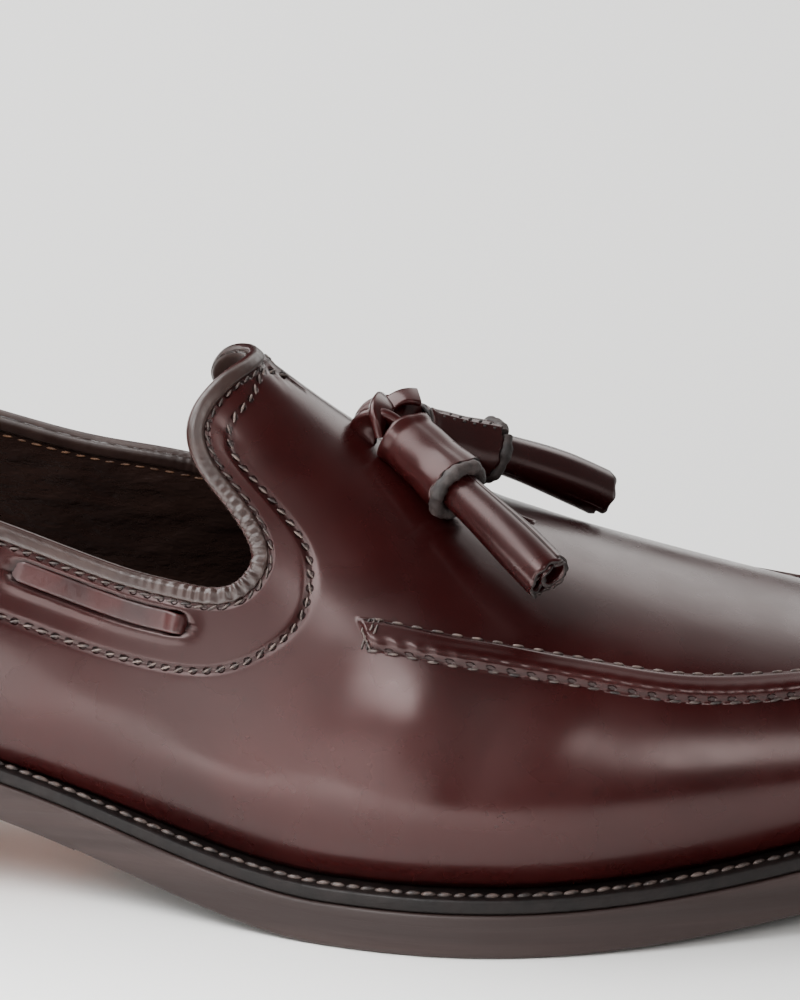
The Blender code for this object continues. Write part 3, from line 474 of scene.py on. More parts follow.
# Besides the leather's own tones and specks, these hold painted shade: for the stitches' dents, for the lace
# windows round the laces, and, in the speck tone, for the grooves and the seam's sunken lines.
oxblood = {
    "deep": (0.0140, 0.0018, 0.0019), "warm": (0.0240, 0.0032, 0.0032), "speckAndShade": (0.0045, 0.0013, 0.0013),
    "holeShade": (0.006, 0.002, 0.002), "window": (0.003, 0.0016, 0.0015),
}

bandSew = {"pitch": 0.00275, "length": 0.0023, "radius": 0.00026, "slant": 20}
edgeSew = {"pitch": 0.00265, "length": 0.0021, "radius": 0.00025, "slant": 16, "drop": -0.0038}
seamSew = {"pitch": 0.00385, "length": 0.0023, "radius": 0.00032, "slant": 8}
weltSew = {"pitch": 0.0030, "length": 0.0029, "radius": 0.00056, "slant": 10, "inset": 0.0026}
innerSew = {"pitch": 0.0030, "length": 0.0021, "radius": 0.00026, "slant": 6, "drop": 0.0042}
sewnLayers = ("bandAcross", "bandAlong", "edgeAcross", "edgeAlong", "seamAcross", "seamAlong", "window")
# stitch rows, each stitch's spot dented and darkened with painted shade: line, how far off it, pitch, half
# width, half length, shift
holeRows = (
    ("band", 0.0, bandSew["pitch"], 0.00075, 0.00085, 0.5),
    ("edge", edgeSew["drop"], edgeSew["pitch"], 0.0006, 0.0007, 0.5),
    ("seam", -0.84, seamSew["pitch"], 0.12, 0.00095, 0.0),
    ("seam", 0.90, seamSew["pitch"], 0.11, 0.0009, 0.5),
)
# grooves beside the band and the edge, and the seam's sunken lines beside its stitch rows, all darkened with
# painted shade: line, how far off it, half width
grooveRows = (("band", 0.0, 0.0013), ("edge", edgeSew["drop"], 0.0008))
shadedValleyRows = (("seam", 0.90, 0.13), ("seam", -0.86, 0.11))


def named(material, key):
    return node(material, "ShaderNodeAttribute", attribute_name=key).outputs["Fac"]


# 1 at evenly spaced spots along a line on the leather, 0 away from them
def spotsAlong(material, across, along, offAcross, pitch, wide, long, shift):
    calc = calculator(material)
    turn = calc("FRACT", calc("ADD", calc("DIVIDE", along, pitch), 0.5 + shift))
    far = calc("MULTIPLY", calc("SUBTRACT", turn, 0.5), pitch / long)
    side = calc("DIVIDE", calc("SUBTRACT", across, offAcross), wide)
    size = calc("ADD", calc("MULTIPLY", far, far), calc("MULTIPLY", side, side))
    return mapped(material, size, 0.25, 1.1, 1, 0)


# 1 on lines beside those named, 0 away from them
def ridgesAlong(material, across, rows):
    calc = calculator(material)
    away = [(calc("ABSOLUTE", calc("SUBTRACT", across[line], off)), wide) for line, off, wide in rows]
    return largest(material, [mapped(material, value, 0, wide, 1, 0) for value, wide in away])


def polishedLeather(name, sewn):
    material = newMaterial(name, oxblood["deep"], 0.28, **{
        "IOR": 1.42, "Specular Tint": (1.0, 0.78, 0.76, 1), "Coat Weight": 0.08, "Coat Roughness": 0.14})
    cloud = mapped(material, noiseAt(material, 24, 3), 0.35, 0.65, 0, 1)
    colour = mixColours(material, cloud, oxblood["deep"], oxblood["warm"])
    speck = mapped(material, noiseAt(material, 520, 2), 0.66, 0.74, 0, 0.35)
    colour = mixColours(material, speck, colour, oxblood["speckAndShade"])
    bump = bumpOf(material, noiseAt(material, 2400, 2), 0.00002, 0.35)
    soft = noiseAt(material, 110, 3, (1, 1, 0.5))
    bump = bumpOf(material, soft, 0.00014 if sewn else 0.00002, 0.35, bump)
    if sewn:
        calc = calculator(material)
        across, along = ({key: named(material, key + way) for key in ("band", "edge", "seam")}
                         for way in ("Across", "Along"))
        shadedHoles = [spotsAlong(material, across[line], along[line], *row) for line, *row in holeRows]
        shadedHoles = largest(material, shadedHoles)
        grooves = ridgesAlong(material, across, grooveRows)
        valleyShade = ridgesAlong(material, across, shadedValleyRows)
        # the stitches' dents darkened: painted shade
        colour = mixColours(material, calc("MULTIPLY", shadedHoles, 0.9), colour, oxblood["holeShade"])
        # the grooves and the seam's sunken lines darkened: painted shade
        dark = calc("MULTIPLY", calc("MAXIMUM", grooves, valleyShade), 0.45)
        colour = mixColours(material, dark, colour, oxblood["speckAndShade"])
        # the leather round the laces in their windows darkened: painted shade
        colour = mixColours(material, named(material, "window"), colour, oxblood["window"])
        dents = calc("ADD", calc("MULTIPLY", grooves, 0.4), shadedHoles)
        bump = bumpOf(material, calc("SUBTRACT", 1.0, dents), 0.00028, 0.9, bump)
    wire(material, "Base Color", colour)
    wire(material, "Roughness", mapped(material, noiseAt(material, 70, 4), 0.3, 0.7, 0.22, 0.32))
    wire(material, "Normal", bump)
    return material


# soft leathers without the high polish: two tones, their grain and how rough they are
def softLeather(name, first, second, roughness, grain, depth, stretch=None, **sockets):
    material = newMaterial(name, first, roughness, **sockets)
    mottle = mapped(material, noiseAt(material, grain * 0.2, 3, stretch), 0.35, 0.68, 0, 1)
    wire(material, "Base Color", mixColours(material, mottle, first, second))
    wire(material, "Roughness", mapped(material, noiseAt(material, grain, 3, stretch), 0.3, 0.7,
                                       roughness - 0.06, roughness + 0.08))
    bump = bumpOf(material, noiseAt(material, grain * 3, 2, stretch), depth * 0.4, 0.6)
    wire(material, "Normal", bumpOf(material, noiseAt(material, grain, 3, stretch), depth, 0.6, bump))
    return material


leather = polishedLeather("upper leather", True)
strapLeather = polishedLeather("tassel leather", False)
laceLeather = softLeather("lace leather", (0.036, 0.0056, 0.0052), (0.021, 0.0036, 0.0035), 0.38, 700,
                          0.00008)
bindingLeather = softLeather("binding leather", (0.024, 0.0122, 0.0102), (0.035, 0.0190, 0.0160), 0.36,
                             900, 0.00006)
liningLeather = softLeather("lining leather", (0.016, 0.0080, 0.0066), (0.030, 0.0160, 0.0130), 0.26, 190,
                            0.0013,
                            (0.6, 1, 1.3))
sockLeather = softLeather("sock leather", (0.016, 0.0085, 0.007), (0.026, 0.0145, 0.0115), 0.45, 700, 0.00008)
weltLeather = softLeather("welt leather", (0.0030, 0.0016, 0.0015), (0.0062, 0.0034, 0.0031), 0.5, 800,
                          0.00016,
                          **{"IOR": 1.32})
soleEdge = softLeather("sole edge", (0.0195, 0.0112, 0.0102), (0.0320, 0.0192, 0.0175), 0.52, 420, 0.00014,
                       (0.10, 0.10, 2.2), **{"IOR": 1.36})
waistLeather = softLeather("waist leather", (0.34, 0.118, 0.055), (0.28, 0.092, 0.042), 0.52, 600, 0.00006)
breastFinish = softLeather("heel breast", (0.040, 0.018, 0.014), (0.056, 0.025, 0.019), 0.42, 500, 0.00008)
liftRubber = softLeather("top lift rubber", (0.018, 0.0135, 0.0125), (0.026, 0.020, 0.018), 0.52, 1200,
                         0.00006)
threadFinish = softLeather("thread", (0.140, 0.100, 0.086), (0.016, 0.0085, 0.0075), 0.5, 3000, 0.00012)
tanThread = softLeather("tan thread", (0.150, 0.068, 0.032), (0.070, 0.028, 0.013), 0.55, 3000, 0.00010)
# a darker copy of the thread for the rows that sit in shade, under the seam's crest, the binding's edge and the
# upper's overhang at the welt: painted shade
shadedThread = softLeather("shaded thread", (0.070, 0.048, 0.041), (0.010, 0.0055, 0.0050), 0.48, 3000, 0.00012)
cutEdge = softLeather("cut edge", (0.034, 0.023, 0.021), (0.008, 0.0045, 0.0040), 0.62, 1800, 0.0002)

upperMake = {
    "rearColumns": 118, "tongueColumns": 80, "frontColumns": 124,
    "wallRows": 24, "seamRows": 13, "apronRows": 27,
    "crowding": 1.3, "cornerLead": 0.05, "tongueLead": 0.14, "throatBend": 8.0, "ridgeBend": 3.0,
    "thickness": 0.0011,
    "seamWidth": 0.0062, "seamHeight": 0.0018, "pucker": 0.16, "seamHem": 0.05,
    "bandRise": 0.0003, "grooveDepth": 0.00035, "grooveWidth": 0.0007,
}
# lower stitch line of the collar band, from the tongue's top to the back of the heel: way round, way up
bandLine = (
    (0.512, 1.000), (0.502, 0.964), (0.496, 0.864), (0.488, 0.784), (0.483, 0.730), (0.486, 0.700),
    (0.500, 0.676), (0.520, 0.650), (0.533, 0.620), (0.537, 0.575), (0.534, 0.516), (0.526, 0.468),
    (0.512, 0.420), (0.490, 0.366), (0.466, 0.330), (0.436, 0.304), (0.396, 0.285), (0.350, 0.280),
    (0.250, 0.280), (0.150, 0.288), (0.070, 0.296), (0.000, 0.300),
)


# the seam's raised form from its lower stitches to its upper ones, as a share of its height
seamShape = smoothThrough((-1.0, -0.85, -0.6, -0.3, 0.0, 0.4, 0.8, 1.0),
                          (0.0, 0.45, 0.88, 1.0, 0.94, 0.74, 0.48, 0.0), ("free", "free"))


def upperColumns(side, make):
    curve, knots = toplineCurve(side)
    rows = toplineRows(side)
    corner = knots[last["toplineCorner"]]
    even = np.linspace(0, 1, make["rearColumns"] + 1)[:-1]
    rear = corner * (1 - (1 - even) ** make["crowding"])
    tongue = np.linspace(corner, knots[-1], make["tongueColumns"] + 1)
    top = curve(np.concatenate([rear, tongue]))
    top[0, 0] = 0
    top[-1] = rows[-1]
    cornerWay = rows[last["toplineCorner"]][0] + make["cornerLead"]
    frontWay = rows[-1][0] + make["tongueLead"]
    rearFoot = top[:len(rear), 0] + make["cornerLead"] * (rear / corner) ** 4
    tongueFoot = np.interp(tongue, [corner, knots[-1]], [cornerWay, frontWay])
    share = np.linspace(0, 1, make["frontColumns"] + 1)[1:]
    ridge = np.stack([top[-1, 0] + (1 - top[-1, 0]) * share, np.ones_like(share)], -1)
    foot = np.concatenate([rearFoot, tongueFoot, frontWay + (1 - frontWay) * share])
    bend = np.full(len(foot), make["ridgeBend"])
    bend[:len(rear)] = make["throatBend"]
    bend[len(rear):len(rear) + len(tongue)] = np.linspace(make["throatBend"], make["ridgeBend"], len(tongue))
    return foot, np.vstack([top, ridge]), bend


def onColumn(columns, share, pick=slice(None)):
    foot, top, bend = (part[pick] for part in columns)
    return foot + (top[:, 0] - foot) * share ** bend, np.clip(top[:, 1] * share, 0, 1)


# shares of each column for each row, closer together on the seam
def rowShares(side, columns, make):
    foot, top, bend = columns
    crossing = np.full(len(foot), 0.5)
    for _ in range(60):
        way, _ = onColumn(columns, crossing)
        crossing = (crossing + np.clip(apronLine(side, way) / top[:, 1], 0.2, 0.8)) / 2
    way, up = onColumn(columns, crossing)
    rate = (lastPoint(side, way, up) - lastPoint(side, *onColumn(columns, crossing - 1e-3))) / 1e-3
    ahead, behind = np.minimum(way + 1e-3, 1), np.maximum(way - 1e-3, 0)
    seam = lastPoint(side, ahead, apronLine(side, ahead)) - lastPoint(side, behind, apronLine(side, behind))
    seam = unit(seam)
    half = np.minimum(make["seamWidth"] / 2 / np.linalg.norm(np.cross(rate, seam), axis=1), make["seamHem"])
    under, over = crossing - 1.16 * half, crossing + 1.12 * half
    wall = np.vstack([np.linspace(0, 1, make["wallRows"])[:, None] * under, crossing - half])
    across = np.linspace(-1, 1, make["seamRows"] + 1)[1:]
    middle = crossing + across[:, None] * half
    upper = over + (1 - over) * np.linspace(0, 1, make["apronRows"])[:, None]
    acrossSeam = np.concatenate([np.full(make["wallRows"], -1.5), [-1], across, np.full(make["apronRows"], 1.5)])
    return np.vstack([wall, middle, upper]), acrossSeam, crossing


# ways round, ways up, lengths gone, points and normals of a line on the leather
def lineOnLast(side, rows, step=0.0005):
    rows = np.array(rows, float)
    knots = chordKnots(rows * np.array([length, last["instepHeight"]]))
    fine = np.clip(smoothThrough(knots, rows)(np.linspace(0, knots[-1], 1200)), 0, 1)
    gone = chordKnots(lastPoint(side, fine[:, 0], fine[:, 1]))
    even = np.linspace(0, gone[-1], int(gone[-1] / step) + 1)
    ways, ups = (np.interp(even, gone, fine[:, k]) for k in (0, 1))
    return ways, ups, even, lastPoint(side, ways, ups), lastNormal(side, ways, ups)


# which point of a line is nearest to each point, and how far off
def nearest(points, line):
    best = np.full(len(points), 1.0)
    where = np.zeros(len(points), int)
    for start in range(0, len(line), 200):
        part = np.linalg.norm(points[:, None] - line[None, start:start + 200], axis=2)
        at = part.argmin(1)
        found = part[np.arange(len(points)), at]
        closer = found < best
        where[closer] = at[closer] + start
        best[closer] = found[closer]
    return where, best


# how far points lie to the side of a line on the leather, along it and from it
def nearLine(points, onLast):
    _, _, gone, line, lineNormals = onLast
    where, best = nearest(points, line)
    ahead = headings(line)
    offset = points - line[where]
    sideways = np.cross(lineNormals, ahead)[where]
    return (offset * sideways).sum(1), gone[where] + (offset * ahead[where]).sum(1), best


bandLines = {side: lineOnLast(side, bandLine) for side in (-1, 1)}
toplineLines = {side: lineOnLast(side, toplineRows(side)) for side in (-1, 1)}

# the lace's windows: side, middle as a share of the way round, half the length that shows
laceRuns = (
    ("outer_front", -1, 0.408, 0.0165), ("outer_rear", -1, 0.235, 0.0165),
    ("inner_front", 1, 0.408, 0.0165), ("inner_rear", 1, 0.235, 0.0165), ("heel", -1, 0.0, 0.0200),
)
laceMake = {
    "width": 0.0042, "thickness": 0.0011, "drop": 0.0078, "sink": 0.0010, "rim": 0.00040, "rimWidth": 0.0012,
    "room": 0.0004, "shortened": 0.0008, "hidden": 0.0013, "over": 0.0001,
    # near its front end the lace swells up, narrows and tucks under the leather: place and reach along it
    "bulge": 0.0012, "bulgeAt": (0.93, 0.04), "narrow": 0.10, "narrowAt": (0.95, 0.05),
    "tuck": 0.0016, "tuckFrom": 0.955, "point": 0.25, "pointFrom": 0.97, "rearTuck": 0.0006, "rearTuckTo": 0.06,
}


def lacePoint(side, distance):
    ways, ups, gone = toplineLines[side][:3]
    keep = ups < 0.56
    way = np.interp(distance, gone[keep], ways[keep])
    up = np.interp(distance, gone[keep], ups[keep])
    above = lastPoint(side, way, up + 4e-3) - lastPoint(side, way, up - 4e-3)
    up = up - laceMake["drop"] / (np.linalg.norm(above, axis=-1) / 8e-3)
    return lastPoint(side, way, up), lastNormal(side, way, up)


def lacePath(side, way, half, steps):
    ways, _, gone = toplineLines[side][:3]
    middle = 0.0 if way == 0 else float(np.interp(way, ways[ways < 0.49], gone[ways < 0.49]))
    places = middle + np.linspace(-half, half, steps)
    found = [lacePoint(side if at >= 0 else -side, abs(at)) for at in places]
    return np.array([f[0] for f in found]), np.array([f[1] for f in found])


lacePaths = [lacePath(side, way, half - laceMake["shortened"], 67)[0] for _, side, way, half in laceRuns]


# how far the leather dips within a lace window and stands up round its rim, and how much of a point lies in the
# window, where the leather is darkened with painted shade round the lace
def windowRelief(points):
    lift, slotShade = np.zeros(len(points)), np.zeros(len(points))
    for path in lacePaths:
        past = nearest(points, path)[1] - (laceMake["width"] / 2 + laceMake["room"])
        lift += np.where(past < 0, -laceMake["sink"] * smoothStep(0, -0.0007, past), 0)
        lift += laceMake["rim"] * np.exp(-((past - laceMake["room"]) / laceMake["rimWidth"]) ** 2)
        slotShade += smoothStep(0.0002, -0.0004, past)
    return lift, slotShade


# soft dents and swells of the leather: side, way round, way up, half length, half width, turn, height
creases = (
    (-1, 0.560, 0.430, 0.016, 0.0060, 62, -0.00045),
    (-1, 0.600, 0.400, 0.018, 0.0050, 70, 0.00030),
    (-1, 0.640, 0.330, 0.020, 0.0060, 78, -0.00040),
    (-1, 0.545, 0.300, 0.022, 0.0070, 40, 0.00035),
    (-1, 0.470, 0.230, 0.026, 0.0060, 12, -0.00035),
    (-1, 0.420, 0.180, 0.030, 0.0070, 8, 0.00030),
    (-1, 0.690, 0.440, 0.016, 0.0050, 60, 0.00025),
    (-1, 0.330, 0.200, 0.026, 0.0060, -6, -0.00030),
    (1, 0.600, 0.400, 0.018, 0.0060, 66, -0.00040),
    (1, 0.650, 0.340, 0.020, 0.0060, 75, 0.00030),
    (1, 0.500, 0.240, 0.026, 0.0070, 14, -0.00040),
    (1, 0.390, 0.200, 0.028, 0.0060, 4, 0.00030),
    (-1, 0.640, 0.860, 0.014, 0.0050, 84, -0.00022),
    (1, 0.640, 0.860, 0.014, 0.0050, 84, -0.00022),
)


def creaseRelief(side, points, normals):
    lift = np.zeros(len(points))
    for own, way, up, half, wide, turn, height in creases:
        if own != side:
            continue
        way, up = np.array([way]), np.array([up])
        centre = lastPoint(side, way, up)[0]
        ahead = (lastPoint(side, way + 2e-3, up) - lastPoint(side, way - 2e-3, up))[0]
        ahead = unit(ahead)
        facing = lastNormal(side, way, up)[0]
        rise = np.cross(ahead, facing) * side
        angle = math.radians(turn)
        alongAxis = ahead * math.cos(angle) + rise * math.sin(angle)
        acrossAxis = rise * math.cos(angle) - ahead * math.sin(angle)
        offset = points - centre
        along = offset @ alongAxis / half
        across = (offset @ acrossAxis + 0.18 * half * along ** 2) / wide
        lift += height * np.exp(-along ** 2 - across ** 2) * (normals @ facing > 0.3)
    return lift


def upperSkin(side, make):
    columns = upperColumns(side, make)
    shares, acrossSeam, crossing = rowShares(side, columns, make)
    seamWay, _ = onColumn(columns, crossing)
    seamGone = chordKnots(lastPoint(side, seamWay, apronLine(side, seamWay)))
    seamGone = seamGone - np.interp(last["apronStart"], seamWay, seamGone)

    def at(column, row):
        share = shares[row, column]
        way, up = onColumn(columns, share, column)
        points = lastPoint(side, way, up)
        normals = lastNormal(side, way, up)
        topWay, topUp = onColumn(columns, np.ones_like(share), column)
        toTop = np.linalg.norm(points - lastPoint(side, topWay, topUp), axis=1)
        toTop = np.where(column <= make["rearColumns"] + make["tongueColumns"], toTop, 1.0)
        signed, along, distance = nearLine(points, bandLines[side])
        signed = np.where(distance < 0.02, signed * side, np.where(toTop < 0.012, 0.02, -0.02))
        edgeSigned, edgeGone, _ = nearLine(points, toplineLines[side])
        across, gone = acrossSeam[row], seamGone[column]
        beat = np.cos(2 * math.pi * gone / seamSew["pitch"])
        shape = seamShape(np.clip(across, -1, 1))[..., 0] * (np.abs(across) <= 1)
        shape = shape * (1 - make["pucker"] * beat * np.clip(-across, 0, 1) * smoothStep(-1.0, -0.75, across))
        groove = np.exp(-(signed / make["grooveWidth"]) ** 2) * smoothStep(0.001, 0.004, toTop)
        window, slotShade = windowRelief(points)
        lift = (shape * make["seamHeight"] * smoothStep(-0.0004, 0.0006, gone)
                + make["bandRise"] * smoothStep(-0.0008, 0.0012, signed) * smoothStep(0.001, 0.005, toTop)
                - make["grooveDepth"] * groove + window
                + creaseRelief(side, points, normals) * smoothStep(0.004, 0.010, toTop))
        values = {
            "edgeAcross": np.clip(-edgeSigned * side, -0.02, 0.02), "edgeAlong": edgeGone,
            "bandAcross": signed, "bandAlong": along, "window": slotShade,
            "seamAcross": np.where(gone > -0.001, across, 3.0), "seamAlong": gone,
        }
        return points + normals * lift[:, None], values

    return at, len(columns[0]) - 1, len(acrossSeam) - 1


def buildUpper():
    bm = bmesh.new()
    for side in (-1, 1):
        at, across, along = upperSkin(side, upperMake)
        laidGrid(bm, across, along, at, sewnLayers, flip=side > 0)
    weld(bm, 2e-5)
    bm.normal_update()
    tree = BVHTree.FromBMesh(bm)
    piece = finishObject("upper_leather", bm, leather, angle=60)
    thicken(piece, upperMake["thickness"])
    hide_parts("upper")
    return tree


upperTree = buildUpper()
print("upper made")

liningMake = {
    **upperMake, "rearColumns": 90, "tongueColumns": 50, "frontColumns": 40,
    "wallRows": 22, "seamRows": 2, "apronRows": 20,
    "thickness": 0.0006, "seamWidth": 0.0056, "depth": 0.0021, "wrinkle": 0.0005,
}


def buildLining():
    make = liningMake
    bm = bmesh.new()
    for side in (-1, 1):
        columns = upperColumns(side, make)
        shares, _, _ = rowShares(side, columns, make)

        def at(column, row):
            way, up = onColumn(columns, shares[row, column], column)
            points = lastPoint(side, way, up)
            normals = lastNormal(side, way, up)
            topWay, topUp = onColumn(columns, np.ones(len(column)), column)
            toTop = np.linalg.norm(points - lastPoint(side, topWay, topUp), axis=1)
            soft = smoothStep(0.001, 0.010, toTop)
            ripple = np.array([
                noise.noise(Vector((p[0] * 90, p[1] * 160, p[2] * 260)))
                + 0.6 * noise.noise(Vector((p[0] * 260 + 9, p[1] * 300, p[2] * 420))) for p in points])
            depth = make["depth"] + make["wrinkle"] * (0.5 + ripple) * soft
            return points - normals * depth[:, None], {}

        laidGrid(bm, len(columns[0]) - 1, shares.shape[0] - 1, at, flip=side < 0)
    weld(bm, 2e-5)
    piece = finishObject("lining", bm, liningLeather, angle=70)
    thicken(piece, make["thickness"])


buildLining()
print("lining made")

# binding over the topline
bindingMake = {
    "leg": 0.0021, "stand": 0.0008, "sink": 0.0012, "columns": 700, "rows": 18, "thickness": 0.0006,
    "foldShare": 0.42, "roundness": 0.75, "legFlare": 0.0004, "tongueFrom": 0.78,
    "gather": 0.00034, "gatherPitch": 0.0019, "gatherReach": 0.014,
}


def buildBinding():
    make = bindingMake
    bm = bmesh.new()
    for side in (-1, 1):
        curve, knots = toplineCurve(side)
        spots = curve(np.linspace(0, knots[-1], make["columns"] + 1))
        spots[0, 0] = 0
        spots[-1] = toplineRows(side)[-1]
        top = lastPoint(side, spots[:, 0], spots[:, 1])
        normals = lastNormal(side, spots[:, 0], spots[:, 1])
        ahead = headings(top)
        ahead[0], ahead[-1] = (0, side, 0), (0, -side, 0)
        normals = unit(normals - ahead * (normals * ahead).sum(1, keepdims=True))
        rise = np.cross(ahead, normals) * side
        gone = chordKnots(top)
        corner = gone[int(np.argmin(np.abs(spots[:, 1] - 0.535) + (spots[:, 0] < 0.48)))]

        def at(column, row):
            t = row / make["rows"] * 2 - 1
            tongue = smoothStep(make["tongueFrom"], 1.0, spots[column, 1])
            wall = last["wall"] * (1 - 0.12 * tongue)
            reach = wall / 2 + make["stand"] * (1 - 0.5 * tongue)
            straight = np.clip((np.abs(t) - make["foldShare"]) / (1 - make["foldShare"]), 0, 1)
            angle = np.clip(t / make["foldShare"], -1, 1) * math.pi / 2
            high = np.cos(angle) * reach * make["roundness"] - straight * make["leg"] - make["sink"]
            outwards = -wall / 2 - np.sin(angle) * reach
            outwards = outwards + np.where(t < 0, -1, 1) * straight ** 6 * make["legFlare"]
            near = np.exp(-((gone[column] - corner) / make["gatherReach"]) ** 2)
            beat = np.sin(gone[column] / make["gatherPitch"] * 2 * math.pi
                          + 1.3 * np.sin(gone[column] * 700)) * np.where(t < 0.2, 1, 0.5)
            swell = make["gather"] * near * beat * (1 - straight ** 4)
            out = normals[column] * (outwards + swell * np.where(t < 0, 1, -1))[:, None]
            return top[column] + out + rise[column] * (high + 0.3 * swell)[:, None], {"along": gone[column]}

        laidGrid(bm, make["columns"], make["rows"], at, ("along",), flip=side > 0)
    weld(bm, 2e-5)
    piece = finishObject("collar_binding_leather", bm, bindingLeather, angle=70)
    thicken(piece, make["thickness"])
    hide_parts("collar_binding")


buildBinding()
print("binding made")


# one layer of the sole: rows give the inset from the edge, and the share of the way down from its top face
def soleLayer(name, material, shareOfMargin, extra, rows, topAt, bottomAt, cuts=(), keepAhead=None, under=None):
    bm = bmesh.new()
    count = 220
    even = np.linspace(0, 1, count + 1)
    ways = 0.35 * (0.5 - 0.5 * np.cos(math.pi * even)) + 0.65 * even
    middle = np.stack([spine(ways), ridgeAt(spine(ways) / length)[..., 1] * last["ballWidth"]], -1)
    insets, downs = np.array(rows).T
    for side in (-1, 1):
        def at(column, row):
            way, inset, down = ways[column], insets[row], downs[row]
            edge = offsetOutline(side, way, shareOfMargin, extra)
            full = inset >= 1
            square = edge - outlineNormal(side, way) * np.where(full, 0, inset)[:, None]
            size = np.linalg.norm(middle[column] - edge, axis=1)
            flat = np.where((full | (inset > size))[:, None], middle[column], square)
            field = smoothStep(*soleField, np.where(full, 1, inset)) * (down > 0.5)
            field = field * (1 if keepAhead else flat[:, 0] < sole["rubberStart"])
            return np.column_stack([flat, down]), {"field": field}

        laidGrid(bm, count, len(rows) - 1, at, ("field",), flip=side < 0)
    weld(bm, 1e-6)
    for x in (*cuts, keepAhead) if keepAhead else cuts:
        bmesh.ops.bisect_plane(bm, geom=bm.verts[:] + bm.edges[:] + bm.faces[:], dist=1e-7, plane_co=(x, 0, 0),
                               plane_no=(1, 0, 0), clear_inner=x == keepAhead)
    if keepAhead:
        bmesh.ops.holes_fill(bm, edges=[e for e in bm.edges if e.is_boundary])
    xs = np.array([v.co.x for v in bm.verts])
    shares = np.array([v.co.z for v in bm.verts])
    high, low = topAt(xs), bottomAt(xs)
    heights = high + (low - high) * shares
    for k, v in enumerate(bm.verts):
        v.co = (xs[k] + origin[0], v.co.y + origin[1], heights[k])
    bmesh.ops.recalc_face_normals(bm, faces=bm.faces)
    if bm.calc_volume(signed=True) < 0:
        bmesh.ops.reverse_faces(bm, faces=bm.faces)
    piece = finishObject(name, bm, material)
    if under:
        piece.data.materials.append(under)
        field = piece.data.attributes["field"].data
        for face in piece.data.polygons:
            inField = max(field[v].value for v in face.vertices) > 0.01
            face.material_index = int(inField and abs(face.normal.z) > 0.6)
    return piece


# rounded edge of a layer
edgeRows = (
    (1, 0.0), (0.012, 0.0), (0.0056, 0.0), (0.0040, 0.0), (0.0010, 0.0), (0.0004, 0.03), (0.0001, 0.10),
    (0.0, 0.22), (0.0, 0.5), (0.0, 0.78), (0.0001, 0.90), (0.0004, 0.97), (0.0010, 1.0), (0.0040, 1.0),
    (0.0056, 1.0), (0.012, 1.0), (1, 1.0),
)
# the same edge left square where the leather and the rubber lie on each other
squareTop = edgeRows[:4] + ((0.0, 0.0), (0.0, 0.25)) + edgeRows[8:]
squareBottom = edgeRows[:9] + ((0.0, 0.75), (0.0, 0.95), (0.0002, 1.0)) + edgeRows[13:]
# inset where the finish of the underside starts and where it is full
soleField = (0.0040, 0.0055)


def leatherUnder(x):
    return np.where(x <= sole["rubberStart"] + 1e-5, treadLine(x), soleTop(x) - sole["foreLeather"])


# bands of slanted ribs along the forepart, which turn the other way in every second band, inside a plain rim
tread = {"band": 0.0040, "rib": 0.0011, "slant": 1.9, "height": 0.0005,
         "dark": (0.016, 0.0125, 0.0115), "pale": (0.048, 0.040, 0.037)}


def ribbedRubber():
    material = newMaterial("ribbed rubber", (0.022, 0.018, 0.016), 0.46)
    calc = calculator(material)
    place = node(material, "ShaderNodeTexCoord").outputs["Object"]
    x, y, _ = node(material, "ShaderNodeSeparateXYZ", {0: place}).outputs
    rows = calc("DIVIDE", y, tread["band"])
    turned = calc("MULTIPLY", calc("PINGPONG", rows, 1.0), tread["slant"])
    slant = calc("ADD", calc("DIVIDE", x, tread["rib"]), turned)
    rib, band = (calc("ABSOLUTE", calc("SUBTRACT", calc("FRACT", value), 0.5)) for value in (slant, rows))
    height = calc("MULTIPLY", mapped(material, rib, 0.12, 0.34, 0, 1), mapped(material, band, 0.28, 0.36, 1, 0))
    height = calc("MULTIPLY", height, named(material, "field"))
    # the ribs get the pale colour and the grooves between them the darker one: painted shade in the grooves
    wire(material, "Base Color", mixColours(material, height, tread["dark"], tread["pale"]))
    wire(material, "Roughness", mapped(material, noiseAt(material, 400, 3), 0.3, 0.7, 0.42, 0.56))
    fine = bumpOf(material, noiseAt(material, 1600, 2), 0.00004, 0.6)
    wire(material, "Normal", bumpOf(material, height, tread["height"], 1.0, fine))
    return material


treadFinish = ribbedRubber()


def buildSole():
    leatherLayer = soleLayer("sole_leather", soleEdge, 1.0, 0.0, squareBottom, soleTop, leatherUnder,
                             cuts=(sole["rubberStart"], sole["rubberStart"] + last["gap"]), under=waistLeather)
    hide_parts("outsole")
    rubber = soleLayer("tread_rubber", soleEdge, 1.0, 0.00002, squareTop,
                       lambda x: soleTop(x) - sole["foreLeather"] + 4 * last["gap"], treadLine,
                       keepAhead=sole["rubberStart"] - 2 * last["gap"], under=treadFinish)
    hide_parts("forepart_rubber")
    welt = soleLayer("welt_strip", weltLeather, 1.0, -0.0004, edgeRows,
                     lambda x: soleTop(x) + last["gap"] + sole["welt"], lambda x: soleTop(x) + last["gap"] * 0.3)
    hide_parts("welt")
    sock = soleLayer("insole_sock", sockLeather, 0.0, -sole["weltSeat"] - 3 * last["gap"], edgeRows,
                     lambda x: featherHeight(x) + sole["sockRise"], lambda x: soleTop(x) + sole["welt"])
    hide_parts("insole")


